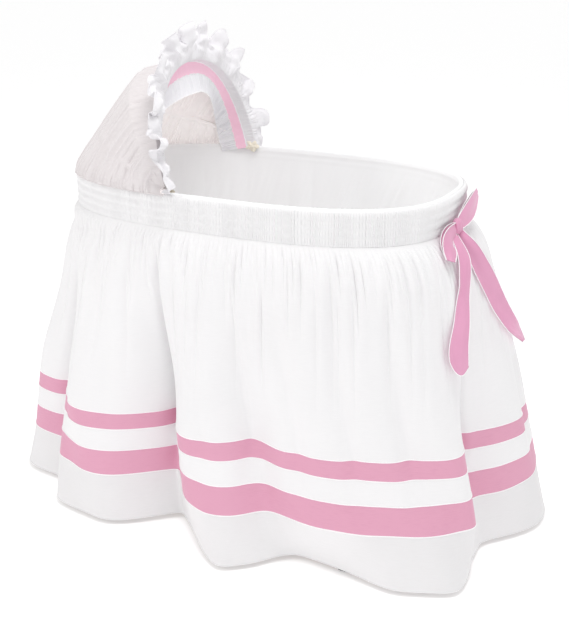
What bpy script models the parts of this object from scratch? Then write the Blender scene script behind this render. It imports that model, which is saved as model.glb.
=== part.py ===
"""Moses basket on a folding stand: an oval woven basket with a mattress and a side liner, a gathered
floor-length skirt with two stripes and a ribbon bow, and a fabric hood that folds back on three bows.

Metres, +Z up. X runs along the basket: the hood is at the head end (-X), the ribbon bow at the foot end
(+X), and -Y is the near side. The origin is on the floor, under the middle of the skirt.
"""

import math

import bmesh
import bpy
from mathutils import Matrix, Vector

# Rim and basket
RIM_HALF = Vector((0.425, 0.268))  # half length and half width over the waistband
RIM_POWER = 2.8  # superellipse power of the rim oval
RIM_TOP = 0.7578  # top of the rim border
WAISTBAND_TOP = 0.752
WAISTBAND_BOTTOM = 0.690
WAISTBAND_THICKNESS = 0.0055
WALL_GAP = 0.001  # between the waistband and the basket wall
WALL_THICKNESS = 0.008
BASKET_BOTTOM = 0.505
BASE_HALF = Vector((0.380, 0.220))
BASE_THICKNESS = 0.008
BORDER_WIDTH = 0.0115  # braided border around the base
BORDER_HEIGHT = 0.012
RIM_BORDER_HEIGHT = 0.0128
LINER_THICKNESS = 0.003
LINER_BOTTOM = 0.520
MATTRESS_HALF = Vector((0.365, 0.205))
MATTRESS_THICKNESS = 0.040

# Skirt
HEM_HALF = Vector((0.619, 0.367))
HEM_POWER = 2.3
HEM_BOTTOM = 0.012
HEM_TOP = 0.122  # the white hem ends here and the lower stripe starts
LOWER_STRIPE_TOP = 0.180
MIDDLE_STRIP_TOP = 0.229
UPPER_STRIPE_TOP = 0.267
CLOTH_THICKNESS = 0.0015
GATHER_FLARE = 0.22  # share of the flare that happens just under the waistband
GATHER_DEPTH = 0.06  # how quickly it happens, as a share of the skirt's height

# Ribbon bow on the waistband at the foot end
KNOT_AT = (-0.047, 0.706)  # y and z
KNOT_HALF = Vector((0.014, 0.020, 0.022))  # out of the band, along it and up
RIBBON_THICKNESS = 0.0016

# Hood: three hoops on one hinge line that crosses the basket slightly askew
HINGE_NEAR = Vector((-0.100, -0.262))
HINGE_FAR = Vector((-0.168, 0.262))
HINGE_HEIGHT = 0.769
HOOP_POWER = 2.2
HOOP_WIDTH = 0.008
HOOP_THICKNESS = 0.002
HOOP_TAIL = 0.005  # how far a hoop reaches past its pin
FRONT_HOOP = {"half_width": 0.2445, "height": 0.228, "lean": 13.7}
MIDDLE_HOOP = {"half_width": 0.2505, "height": 0.243, "lean": 34.8}
REAR_HOOP = {"half_width": 0.2475, "height": 0.243, "lean": 66.9}
CANOPY_HALF_WIDTH = 0.2555
CANOPY_LIFT = 0.006  # clear space between the top of a hoop and the canopy over it
CANOPY_START = 8.0  # degrees of arch, from the pin, where the canopy panels begin
CANOPY_HEM = 0.766
PANEL_GAP = 0.012  # share of a panel's width left free at each edge
RUFFLE_HEIGHT = (0.045, 0.072)  # at the feet of the arch and at its top
RUFFLE_DEPTH = (0.006, 0.045)  # how far forward of the front hoop it starts and ends
PINK_BAND_WIDTH = 0.027
SHIRRED_BAND_WIDTH = 0.040
PIN_RADIUS = 0.0025
PIN_HOLE_RADIUS = 0.0029
ROSETTE_RADIUS = 0.0125
BRACKET_Y = (0.2530, 0.2560)  # inner and outer face, along the hinge line from its middle

# Stand: two crossed frames
OUTER_LEG_X = 0.310
INNER_LEG_X = 0.2895
LEG_SECTION = (0.020, 0.026)  # along X, and across the leg
FOOT_Y = 0.235
PAD_SIZE = Vector((0.026, 0.052, 0.008))
RAIL_RADIUS = 0.012
TOP_RAIL_Y = 0.175
LOWER_RAIL_Z = 0.060
LEG_TOP = 0.5005
BOLT_RADIUS = 0.004
BOLT_HOLE_RADIUS = 0.0043
STRAP_X = 0.200
STRAP_WIDTH = 0.030
STRAP_THICKNESS = 0.002
LEG_BEVEL = 0.002
PAD_BEVEL = 0.0015
BOLT_HEAD = (0.009, 0.005)  # radius and height
NUT = (0.008, 0.008)  # radius over its corners and height

UP = Vector((0, 0, 1))
TOUCH_GAP = 0.0003  # left between faces that touch
RING_SEGMENTS = 48
ARCH_SEGMENTS = 22

WHITE_COTTON = ((0.93, 0.93, 0.93), 0.9, 0.0)
PINK_COTTON = ((0.79, 0.38, 0.54), 0.8, 0.0)
PALE_PINK = ((0.86, 0.48, 0.63), 0.8, 0.0)
WICKER = ((0.62, 0.44, 0.24), 0.7, 0.0)
BEECH = ((0.66, 0.47, 0.29), 0.5, 0.0)
STEEL = ((0.62, 0.62, 0.64), 0.3, 1.0)
RUBBER = ((0.10, 0.10, 0.10), 0.8, 0.0)
WHITE_PLASTIC = ((0.88, 0.87, 0.84), 0.4, 0.0)
CREAM = ((0.90, 0.85, 0.74), 0.7, 0.0)
WEBBING = ((0.85, 0.82, 0.75), 0.9, 0.0)


def clear_scene():
    for obj in list(bpy.data.objects):
        bpy.data.objects.remove(obj, do_unlink=True)


def material(name, look):
    """The named Principled material, made once."""
    found = bpy.data.materials.get(name)
    if found:
        return found
    made = bpy.data.materials.new(name)
    made.use_nodes = True
    shader = made.node_tree.nodes["Principled BSDF"]
    colour, roughness, metallic = look
    shader.inputs["Base Color"].default_value = (*colour, 1.0)
    shader.inputs["Roughness"].default_value = roughness
    shader.inputs["Metallic"].default_value = metallic
    return made


def body_empty(name, location):
    """An empty on a body's joint axis, which carries that body's pieces."""
    empty = bpy.data.objects.new(name, None)
    empty.location = location
    bpy.context.scene.collection.objects.link(empty)
    return empty


def add_object(name, bm, look, body, smooth=40.0):
    """Makes an object from a bmesh in world coordinates and hangs it under its body's empty."""
    bmesh.ops.recalc_face_normals(bm, faces=bm.faces)
    if bm.calc_volume(signed=True) < 0:
        bmesh.ops.reverse_faces(bm, faces=bm.faces)
    mesh = bpy.data.meshes.new(name)
    bm.to_mesh(mesh)
    bm.free()
    mesh.shade_smooth()
    mesh.set_sharp_from_angle(angle=math.radians(smooth))
    mesh.materials.append(material(look[0], look[1]))
    obj = bpy.data.objects.new(name, mesh)
    bpy.context.scene.collection.objects.link(obj)
    mesh.transform(Matrix.Translation(-body.location))
    obj.parent = body
    return obj


def bevel(obj, width):
    """Takes the sharp edges off a wooden or rubber piece."""
    modifier = obj.modifiers.new("edge_bevel", "BEVEL")
    modifier.width = width
    modifier.segments = 1


def cut(obj, cutter):
    """Cuts the pin or bolt hole."""
    modifier = obj.modifiers.new("pin_hole", "BOOLEAN")
    modifier.operation = "DIFFERENCE"
    modifier.object = cutter


# ---------------------------------------------------------------- shapes


def shell(name, outer, inner, ring, look, body):
    """A closed skin between two grids of points. Rows are lists; a ring's rows close on themselves."""
    bm = bmesh.new()
    skins = [[[bm.verts.new(point) for point in row] for row in grid] for grid in (outer, inner)]
    rows, columns = len(outer), len(outer[0])
    last = columns if ring else columns - 1
    for grid in skins:
        for r in range(rows - 1):
            for c in range(last):
                n = (c + 1) % columns
                bm.faces.new((grid[r][c], grid[r][n], grid[r + 1][n], grid[r + 1][c]))
    a, b = skins
    for r in (0, rows - 1):
        for c in range(last):
            n = (c + 1) % columns
            bm.faces.new((a[r][c], a[r][n], b[r][n], b[r][c]))
    if not ring:
        for c in (0, columns - 1):
            for r in range(rows - 1):
                bm.faces.new((a[r][c], a[r + 1][c], b[r + 1][c], b[r][c]))
    return add_object(name, bm, look, body)


def strip(name, centres, across, outward, widths, thickness, look, body):
    """A flat bar along a path, with its width along `across` and its thickness along `outward`."""
    grids = []
    for side in (0.5, -0.5):
        grid = []
        for centre, wide, out, width in zip(centres, across, outward, widths):
            middle = centre + out * thickness * side
            grid.append([middle - wide * width / 2, middle + wide * width / 2])
        grids.append(grid)
    return shell(name, grids[0], grids[1], False, look, body)


def slab(name, half, z_low, z_high, look, body, power=RIM_POWER):
    """A flat oval plate."""
    bm = bmesh.new()
    face = bm.faces.new([bm.verts.new(point) for point in oval(half, power, z_low)])
    raised = bmesh.ops.extrude_face_region(bm, geom=[face])["geom"]
    verts = [item for item in raised if isinstance(item, bmesh.types.BMVert)]
    bmesh.ops.translate(bm, verts=verts, vec=(0, 0, z_high - z_low))
    return add_object(name, bm, look, body)


def box(name, low, high, look, body, turn=None):
    bm = bmesh.new()
    bmesh.ops.create_cube(bm, size=1.0)
    middle = (Vector(low) + Vector(high)) / 2
    size = Vector(high) - Vector(low)
    bmesh.ops.scale(bm, verts=bm.verts, vec=size)
    placed = Matrix.Translation(middle) if turn is None else turn @ Matrix.Translation(middle)
    bmesh.ops.transform(bm, matrix=placed, verts=bm.verts)
    return add_object(name, bm, look, body)


def lathe(name, profile, start, direction, look, body, sides=16):
    """A turned piece: profile is (distance along, radius) pairs from start along direction."""
    turn = Vector((0, 0, 1)).rotation_difference(direction).to_matrix().to_4x4()
    place = Matrix.Translation(start) @ turn
    bm = bmesh.new()
    loops = []
    for along, radius in profile:
        loop = []
        for i in range(sides):
            angle = 2 * math.pi * i / sides
            point = Vector((radius * math.cos(angle), radius * math.sin(angle), along))
            loop.append(bm.verts.new(place @ point))
        loops.append(loop)
    for low, high in zip(loops, loops[1:]):
        for i in range(sides):
            n = (i + 1) % sides
            bm.faces.new((low[i], low[n], high[n], high[i]))
    bm.faces.new(loops[0])
    bm.faces.new(loops[-1])
    return add_object(name, bm, look, body)


def rod(name, start, end, radius, look, body, sides=16):
    along = Vector(end) - Vector(start)
    profile = ((0.0, radius), (along.length, radius))
    return lathe(name, profile, Vector(start), along.normalized(), look, body, sides)


def hole_cutter(name, start, end, radius, body):
    cutter = rod(name, start, end, radius, ("cutter", STEEL), body)
    cutter.hide_render = True
    cutter.display_type = "WIRE"
    return cutter


def oval_point(half, power, angle, z):
    c, s = math.cos(angle), math.sin(angle)
    x = half[0] * math.copysign(abs(c) ** (2 / power), c)
    y = half[1] * math.copysign(abs(s) ** (2 / power), s)
    return Vector((x, y, z))


def oval(half, power, z):
    step = 2 * math.pi / RING_SEGMENTS
    return [oval_point(half, power, i * step, z) for i in range(RING_SEGMENTS)]


def smaller(half, by):
    return Vector((half[0] - by, half[1] - by))


def ring(name, levels, look, body, power=RIM_POWER):
    """A ring from (z, outer half sizes, inner half sizes) levels."""
    outer = [oval(out, power, z) for z, out, _ in levels]
    inner = [oval(inn, power, z) for z, _, inn in levels]
    return shell(name, outer, inner, True, look, body)


# ---------------------------------------------------------------- basket

WALL_OUTER = smaller(RIM_HALF, WAISTBAND_THICKNESS + WALL_GAP)
WALL_INNER = smaller(WALL_OUTER, WALL_THICKNESS)
WALL_FOOT_OUTER = smaller(BASE_HALF, -BORDER_WIDTH + 0.001)
WALL_FOOT_INNER = smaller(WALL_FOOT_OUTER, WALL_THICKNESS)
WALL_LOW = BASKET_BOTTOM + BORDER_HEIGHT + TOUCH_GAP
WALL_HIGH = RIM_TOP - RIM_BORDER_HEIGHT - TOUCH_GAP


def wall_inner_at(z):
    share = (z - WALL_LOW) / (WALL_HIGH - WALL_LOW)
    return WALL_FOOT_INNER.lerp(WALL_INNER, share)


def make_basket(body):
    wicker = ("wicker", WICKER)
    base_top = BASKET_BOTTOM + BASE_THICKNESS
    slab("basket_base", BASE_HALF, BASKET_BOTTOM, base_top, wicker, body)
    border_inner = smaller(BASE_HALF, -TOUCH_GAP)
    border_outer = smaller(BASE_HALF, -BORDER_WIDTH)
    border = [(BASKET_BOTTOM + dz, border_outer, border_inner) for dz in (0, BORDER_HEIGHT)]
    ring("base_border", border, wicker, body)
    wall = [(WALL_LOW, WALL_FOOT_OUTER, WALL_FOOT_INNER), (WALL_HIGH, WALL_OUTER, WALL_INNER)]
    ring("basket_wall", wall, wicker, body)
    rim = [(RIM_TOP - dz, WALL_OUTER, WALL_INNER) for dz in (RIM_BORDER_HEIGHT, 0)]
    ring("rim_border", rim, wicker, body)


def make_liner(body):
    """The side liner hangs inside the wall and folds out over the rim border."""
    low = wall_inner_at(LINER_BOTTOM)
    gap = 0.001
    under, over = RIM_TOP + 2 * TOUCH_GAP, RIM_TOP + 2 * TOUCH_GAP + LINER_THICKNESS
    against_wall = (
        (LINER_BOTTOM, smaller(low, gap)),
        (under, smaller(WALL_INNER, gap)),
        (under, WALL_OUTER),
    )
    facing_in = (
        (LINER_BOTTOM, smaller(low, gap + LINER_THICKNESS)),
        (over, smaller(WALL_INNER, gap + LINER_THICKNESS)),
        (over, WALL_OUTER),
    )
    outer = [oval(half, RIM_POWER, z) for z, half in against_wall]
    inner = [oval(half, RIM_POWER, z) for z, half in facing_in]
    shell("side_liner", outer, inner, True, ("white_cotton", WHITE_COTTON), body)


def make_mattress(body):
    low = BASKET_BOTTOM + BASE_THICKNESS + TOUCH_GAP
    high = low + MATTRESS_THICKNESS
    slab("mattress", MATTRESS_HALF, low, high, ("white_cotton", WHITE_COTTON), body)


# ---------------------------------------------------------------- skirt


def flare(z):
    """0 at the waistband and 1 at the hem, quick at first where the gathers spring out."""
    t = (WAISTBAND_BOTTOM - z) / (WAISTBAND_BOTTOM - HEM_BOTTOM)
    spring = GATHER_FLARE * (1 - math.exp(-t / GATHER_DEPTH))
    full = GATHER_FLARE * (1 - math.exp(-1 / GATHER_DEPTH)) + (1 - GATHER_FLARE)
    return (spring + (1 - GATHER_FLARE) * t) / full


def skirt_half(z):
    return RIM_HALF.lerp(HEM_HALF, max(flare(z), 0.0))


def skirt_power(z):
    return RIM_POWER + (HEM_POWER - RIM_POWER) * max(flare(z), 0.0)


def skirt_panel(name, heights, look, body):
    outer = [oval(skirt_half(z), skirt_power(z), z) for z in heights]
    inner = [oval(smaller(skirt_half(z), CLOTH_THICKNESS), skirt_power(z), z) for z in heights]
    shell(name, outer, inner, True, look, body)


def make_skirt(body):
    white = ("white_cotton", WHITE_COTTON)
    pink = ("pink_cotton", PINK_COTTON)
    inside = smaller(RIM_HALF, WAISTBAND_THICKNESS)
    band = [(z, RIM_HALF, inside) for z in (WAISTBAND_BOTTOM, WAISTBAND_TOP)]
    ring("skirt_waistband", band, white, body)
    top = WAISTBAND_BOTTOM - TOUCH_GAP
    panel = (UPPER_STRIPE_TOP + TOUCH_GAP, 0.40, 0.50, 0.60, 0.64, 0.67, top)
    skirt_panel("skirt_upper_panel", panel, white, body)
    skirt_panel("skirt_upper_stripe", (MIDDLE_STRIP_TOP + TOUCH_GAP, UPPER_STRIPE_TOP), pink, body)
    skirt_panel("skirt_middle_strip", (LOWER_STRIPE_TOP + TOUCH_GAP, MIDDLE_STRIP_TOP), white, body)
    skirt_panel("skirt_lower_stripe", (HEM_TOP + TOUCH_GAP, LOWER_STRIPE_TOP), pink, body)
    skirt_panel("skirt_hem", (HEM_BOTTOM, HEM_TOP), white, body)


# ---------------------------------------------------------------- ribbon bow


def on_skirt(y, z, off):
    """A point of the foot end at `off` outside the skirt, with the directions out of it and along it."""
    half, power = skirt_half(z), skirt_power(z)
    angle = math.copysign(math.asin((abs(y) / half[1]) ** (power / 2)), y)
    point = oval_point(half, power, angle, z)
    ahead = oval_point(half, power, angle + 0.01, z)
    along = (ahead - point).normalized()
    out = along.cross(UP)
    return point + out * off, out, along


def ribbon_strip(name, stops, widths, thickness, body):
    """A flat ribbon through (y, z, off) stops on the skirt."""
    spots = [on_skirt(*stop) for stop in stops]
    centres = [spot[0] for spot in spots]
    outward = [spot[1] for spot in spots]
    across = []
    for i, out in enumerate(outward):
        run = centres[min(i + 1, len(centres) - 1)] - centres[max(i - 1, 0)]
        across.append(out.cross(run).normalized())
    strip(name, centres, across, outward, widths, thickness, ("pink_ribbon", PALE_PINK), body)


def make_ribbon(body):
    """The bow is tied on the waistband at the foot end: a knot, two loops and two tails."""
    knot_y, knot_z = KNOT_AT
    knot_centre, out, along = on_skirt(knot_y, knot_z, KNOT_HALF[0] + 0.002)
    bm = bmesh.new()
    bmesh.ops.create_uvsphere(bm, u_segments=12, v_segments=8, radius=1.0)
    frame = Matrix((out, along, UP)).transposed().to_4x4()
    size = Matrix.Diagonal((*KNOT_HALF, 1.0))
    bmesh.ops.transform(bm, matrix=Matrix.Translation(knot_centre) @ frame @ size, verts=bm.verts)
    add_object("ribbon_knot", bm, ("pink_ribbon", PALE_PINK), body)
    side = KNOT_HALF[1] + 0.002
    upper_loop = ((knot_y + side, 0.716, 0.014), (0.025, 0.733, 0.020), (0.070, 0.750, 0.018))
    ribbon_strip("ribbon_upper_loop", upper_loop, (0.018, 0.044, 0.030), 0.014, body)
    lower_loop = ((knot_y - side, 0.694, 0.014), (-0.100, 0.676, 0.020), (-0.125, 0.650, 0.018))
    ribbon_strip("ribbon_lower_loop", lower_loop, (0.018, 0.040, 0.030), 0.014, body)
    widths = (0.018, 0.034, 0.042, 0.042)
    near_tail = (
        (-0.058, 0.680, 0.008), (-0.085, 0.625, 0.010), (-0.128, 0.540, 0.010), (-0.152, 0.448, 0.010)
    )
    ribbon_strip("ribbon_near_tail", near_tail, widths, RIBBON_THICKNESS, body)
    far_tail = (
        (-0.036, 0.680, 0.008), (-0.012, 0.610, 0.010), (0.060, 0.510, 0.010), (0.150, 0.440, 0.010)
    )
    ribbon_strip("ribbon_far_tail", far_tail, widths, RIBBON_THICKNESS, body)


# ---------------------------------------------------------------- hood

HINGE_MIDDLE = Vector((*((HINGE_NEAR + HINGE_FAR) / 2), HINGE_HEIGHT))
HINGE_ACROSS = Vector((*(HINGE_FAR - HINGE_NEAR), 0)).normalized()  # near side to far side
BACK = UP.cross(HINGE_ACROSS)  # level, towards the head end


def on_hinge(side, height=0.0):
    """A point on the hinge line, `side` metres from its middle towards the far side."""
    return HINGE_MIDDLE + HINGE_ACROSS * side + UP * height


def hoop_frame(lean):
    """The directions up a hoop's plane and out of that plane, towards the head end."""
    angle = math.radians(lean)
    up = UP * math.cos(angle) + BACK * math.sin(angle)
    behind = BACK * math.cos(angle) - UP * math.sin(angle)
    return up, behind


def arch_point(half_width, height, lean, phi):
    up, _ = hoop_frame(lean)
    c, s = math.cos(phi), math.sin(phi)
    side = -half_width * math.copysign(abs(c) ** (2 / HOOP_POWER), c)
    return HINGE_MIDDLE + HINGE_ACROSS * side + up * height * max(s, 0.0) ** (2 / HOOP_POWER)


def arch_angles(start_degrees):
    start = math.radians(start_degrees)
    step = (math.pi - 2 * start) / ARCH_SEGMENTS
    return [start + i * step for i in range(ARCH_SEGMENTS + 1)]


def arch_outward(half_width, height, lean, phi):
    """Out of the arch, in its plane."""
    step = 0.01
    ahead = arch_point(half_width, height, lean, min(phi + step, math.pi))
    behind = arch_point(half_width, height, lean, max(phi - step, 0.0))
    _, normal = hoop_frame(lean)
    return (ahead - behind).cross(normal).normalized()


def make_hoop(name, hoop, cutter, body):
    """A flat hoop whose feet turn on the hood pins."""
    up, behind = hoop_frame(hoop["lean"])
    shape = (hoop["half_width"], hoop["height"], hoop["lean"])
    centres = [arch_point(*shape, phi) for phi in arch_angles(0.0)]
    outward = [arch_outward(*shape, phi) for phi in arch_angles(0.0)]
    centres = [centres[0] - up * HOOP_TAIL] + centres + [centres[-1] - up * HOOP_TAIL]
    outward = [-HINGE_ACROSS, -HINGE_ACROSS] + outward[1:-1] + [HINGE_ACROSS, HINGE_ACROSS]
    count = len(centres)
    look = ("white_plastic", WHITE_PLASTIC)
    made = strip(name, centres, [behind] * count, outward, [HOOP_WIDTH] * count, HOOP_THICKNESS, look, body)
    cut(made, cutter)


def canopy_arch(hoop, phi, lift):
    return arch_point(CANOPY_HALF_WIDTH + lift, hoop["height"] + CANOPY_LIFT + lift, hoop["lean"], phi)


def rim_angle(point):
    """The oval's angle at a hinge foot."""
    share = min(abs(point[0]) / RIM_HALF[0], 1.0) ** (RIM_POWER / 2)
    return math.pi - math.copysign(math.acos(share), point[1])


def canopy_hem(phi, inset):
    """A point on the rim, going round the head end as phi goes over the arch."""
    near, far = rim_angle(HINGE_NEAR), rim_angle(HINGE_FAR)
    angle = near + (far - near) * phi / math.pi
    return oval_point(smaller(RIM_HALF, inset), RIM_POWER, angle, CANOPY_HEM)


def canopy_panel(name, low_edge, high_edge, body):
    """A panel between two edge curves, each a function of (phi, is_outer_skin)."""
    rows = 4
    shares = [PANEL_GAP + (1 - 2 * PANEL_GAP) * r / (rows - 1) for r in range(rows)]
    grids = []
    for outer_skin in (True, False):
        grid = []
        for share in shares:
            row = []
            for phi in arch_angles(CANOPY_START):
                row.append(low_edge(phi, outer_skin).lerp(high_edge(phi, outer_skin), share))
            grid.append(row)
        grids.append(grid)
    shell(name, grids[0], grids[1], False, ("white_cotton", WHITE_COTTON), body)


def hoop_edge(hoop):
    return lambda phi, outer_skin: canopy_arch(hoop, phi, CLOTH_THICKNESS if outer_skin else 0.0)


def hem_edge(phi, outer_skin):
    return canopy_hem(phi, 0.0 if outer_skin else CLOTH_THICKNESS)


def make_ruffle(body):
    _, behind = hoop_frame(FRONT_HOOP["lean"])
    shape = (FRONT_HOOP["half_width"] + 0.004, FRONT_HOOP["height"] + 0.004, FRONT_HOOP["lean"])
    front, back = [], []
    for phi in arch_angles(CANOPY_START - 2):
        root = arch_point(*shape, phi)
        out = arch_outward(*shape, phi)
        height = RUFFLE_HEIGHT[0] + (RUFFLE_HEIGHT[1] - RUFFLE_HEIGHT[0]) * math.sin(phi)
        for grid, depth in ((front, RUFFLE_DEPTH[1]), (back, RUFFLE_DEPTH[0])):
            grid.append([root - behind * depth, root + out * height - behind * depth])
    shell("hood_ruffle", front, back, False, ("white_cotton", WHITE_COTTON), body)


def make_valance(name, start, end, look, body):
    """A band inside the front hoop: it hangs down at the top and runs back along the rim at the feet."""
    clear = HOOP_THICKNESS / 2 + 0.0015
    shape = (FRONT_HOOP["half_width"] - clear, FRONT_HOOP["height"] - clear, FRONT_HOOP["lean"])
    _, behind = hoop_frame(FRONT_HOOP["lean"])
    near_skin, far_skin = [], []
    for phi in arch_angles(CANOPY_START):
        root = arch_point(*shape, phi) - behind * HOOP_WIDTH / 2
        out = arch_outward(*shape, phi)
        run = (behind * abs(math.cos(phi)) - out * math.sin(phi)).normalized()
        along = behind.cross(out)
        face = run.cross(along).normalized()  # towards the inside of the arch, and forward at its top
        edges = [root + run * start, root + run * end]
        near_skin.append([edge + face * CLOTH_THICKNESS for edge in edges])
        far_skin.append(edges)
    shell(name, near_skin, far_skin, False, look, body)


def make_hinge(side_name, side, cutter, body):
    """The bracket on the rim, the pin through the hoops, and the fabric rosette over the pin's end."""
    inner, outer = BRACKET_Y
    half_wide, above_pin = 0.011, 0.012
    head_radius, head_height = 0.0045, 0.002
    low = RIM_TOP + LINER_THICKNESS + 4 * TOUCH_GAP
    turn = Matrix.Translation(HINGE_MIDDLE) @ Matrix((BACK, HINGE_ACROSS, UP)).transposed().to_4x4()
    y_low, y_high = sorted((inner * side, outer * side))
    corner_low = (-half_wide, y_low, low - HINGE_HEIGHT)
    corner_high = (half_wide, y_high, above_pin)
    plastic = ("white_plastic", WHITE_PLASTIC)
    bracket = box(f"hood_bracket_{side_name}", corner_low, corner_high, plastic, body, turn)
    cut(bracket, cutter)
    head = outer + TOUCH_GAP
    tip = FRONT_HOOP["half_width"] - HOOP_THICKNESS / 2 - 0.001
    inward = -HINGE_ACROSS * side
    shank = ((head_height + 0.0001, PIN_RADIUS), (head_height + head - tip, PIN_RADIUS))
    profile = ((0, head_radius), (head_height, head_radius)) + shank
    start = on_hinge(side * (head + head_height))
    lathe(f"hood_pin_{side_name}", profile, start, inward, ("steel", STEEL), body)
    edge = ((0, ROSETTE_RADIUS * 0.8), (0.0015, ROSETTE_RADIUS), (0.004, ROSETTE_RADIUS))
    dome = edge + ((0.006, ROSETTE_RADIUS * 0.55),)
    button = on_hinge(side * (tip - TOUCH_GAP))
    lathe(f"rosette_{side_name}", dome, button, inward, ("cream_fabric", CREAM), body)


def make_hood(basket, rear, middle, front):
    reach = 0.30
    pin_holes = hole_cutter("pin_hole_cutter", on_hinge(-reach), on_hinge(reach), PIN_HOLE_RADIUS, basket)
    make_hoop("hood_front_bow", FRONT_HOOP, pin_holes, front)
    make_hoop("hood_middle_bow", MIDDLE_HOOP, pin_holes, middle)
    make_hoop("hood_rear_bow", REAR_HOOP, pin_holes, rear)
    canopy_panel("canopy_front_panel", hoop_edge(FRONT_HOOP), hoop_edge(MIDDLE_HOOP), front)
    canopy_panel("canopy_middle_panel", hoop_edge(MIDDLE_HOOP), hoop_edge(REAR_HOOP), middle)
    canopy_panel("canopy_rear_panel", hoop_edge(REAR_HOOP), hem_edge, rear)
    make_ruffle(front)
    pink_end = PINK_BAND_WIDTH
    shirred_start = pink_end + TOUCH_GAP
    make_valance("hood_pink_band", 0.0, pink_end, ("pale_pink_cotton", PALE_PINK), front)
    white = ("white_cotton", WHITE_COTTON)
    make_valance("hood_shirred_band", shirred_start, shirred_start + SHIRRED_BAND_WIDTH, white, front)
    for side_name, side in (("near", -1), ("far", 1)):
        make_hinge(side_name, side, pin_holes, basket)


# ---------------------------------------------------------------- stand

TOP_RAIL_Z = BASKET_BOTTOM - TOUCH_GAP - RAIL_RADIUS
LEG_LOW = PAD_SIZE[2] + TOUCH_GAP
LEG_SLOPE = (TOP_RAIL_Y + FOOT_Y) / (TOP_RAIL_Z - LEG_LOW)  # sideways per metre of height
CROSSING_Z = TOP_RAIL_Z - TOP_RAIL_Y / LEG_SLOPE
LEG_LEAN = math.atan(LEG_SLOPE)


def leg_y(lean_side, z):
    """Where a leg's centre line is. lean_side is +1 for a leg whose top leans to +Y."""
    return lean_side * LEG_SLOPE * (z - CROSSING_Z)


def make_leg(name, x, lean_side, cutter, body):
    """A square leg cut level at both ends."""
    half_cut = LEG_SECTION[1] / 2 / math.cos(LEG_LEAN)
    outline = []
    for z, order in ((LEG_LOW, (-1, 1)), (LEG_TOP, (1, -1))):
        outline += [(leg_y(lean_side, z) + half_cut * way, z) for way in order]
    bm = bmesh.new()
    x_low = x - LEG_SECTION[0] / 2
    face = bm.faces.new([bm.verts.new((x_low, y, z)) for y, z in outline])
    grown = bmesh.ops.extrude_face_region(bm, geom=[face])["geom"]
    verts = [item for item in grown if isinstance(item, bmesh.types.BMVert)]
    bmesh.ops.translate(bm, verts=verts, vec=(LEG_SECTION[0], 0, 0))
    leg = add_object(name, bm, ("beech", BEECH), body)
    bevel(leg, LEG_BEVEL)
    cut(leg, cutter)


def make_rail(name, leg_x, y, z, body):
    """A round rail between the inner faces of a frame's two legs."""
    end = leg_x - LEG_SECTION[0] / 2 - TOUCH_GAP
    rod(name, (-end, y, z), (end, y, z), RAIL_RADIUS, ("beech", BEECH), body)


def make_frame(kind, leg_x, lean_side, cutter, body):
    for end_name, x in (("head", -leg_x), ("foot", leg_x)):
        make_leg(f"{kind}_leg_{end_name}", x, lean_side, cutter, body)
        foot_y = leg_y(lean_side, LEG_LOW)
        centre = Vector((x, foot_y, PAD_SIZE[2] / 2))
        low, high = centre - PAD_SIZE / 2, centre + PAD_SIZE / 2
        bevel(box(f"{kind}_pad_{end_name}", low, high, ("rubber", RUBBER), body), PAD_BEVEL)
    make_rail(f"{kind}_top_rail", leg_x, leg_y(lean_side, TOP_RAIL_Z), TOP_RAIL_Z, body)
    make_rail(f"{kind}_lower_rail", leg_x, leg_y(lean_side, LOWER_RAIL_Z), LOWER_RAIL_Z, body)


def make_bolts(cutter, body):
    outside = OUTER_LEG_X + LEG_SECTION[0] / 2 + TOUCH_GAP
    inside = INNER_LEG_X - LEG_SECTION[0] / 2 - TOUCH_GAP
    head_radius, head = BOLT_HEAD
    nut_radius, nut = NUT
    for end_name, way in (("head", -1), ("foot", 1)):
        inward = Vector((-way, 0, 0))
        start = Vector((way * (outside + head), 0, CROSSING_Z))
        length = outside + head - inside + nut
        dome = ((0, head_radius * 0.65), (head * 0.4, head_radius), (head, head_radius))
        profile = dome + ((head + 0.0001, BOLT_RADIUS), (length, BOLT_RADIUS))
        lathe(f"pivot_bolt_{end_name}", profile, start, inward, ("steel", STEEL), body)
        seat = Vector((way * inside, 0, CROSSING_Z))
        nut_end = seat + inward * nut
        cut(rod(f"pivot_nut_{end_name}", seat, nut_end, nut_radius, ("steel", STEEL), body, 6), cutter)


def make_straps(body):
    """Two webbing straps between the top rails stop the crossed frames from opening further."""
    reach = TOP_RAIL_Y - RAIL_RADIUS - TOUCH_GAP
    for end_name, x in (("head", -STRAP_X), ("foot", STRAP_X)):
        low = (x - STRAP_WIDTH / 2, -reach, TOP_RAIL_Z - STRAP_THICKNESS / 2)
        high = (x + STRAP_WIDTH / 2, reach, TOP_RAIL_Z + STRAP_THICKNESS / 2)
        box(f"stop_strap_{end_name}", low, high, ("webbing", WEBBING), body)


def make_stand(outer_frame, inner_frame):
    reach = OUTER_LEG_X + 0.05
    start, end = Vector((-reach, 0, CROSSING_Z)), Vector((reach, 0, CROSSING_Z))
    cutter = hole_cutter("bolt_hole_cutter", start, end, BOLT_HOLE_RADIUS, outer_frame)
    make_frame("outer", OUTER_LEG_X, 1, cutter, outer_frame)
    make_frame("inner", INNER_LEG_X, -1, cutter, inner_frame)
    make_bolts(cutter, outer_frame)
    make_straps(outer_frame)


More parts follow.
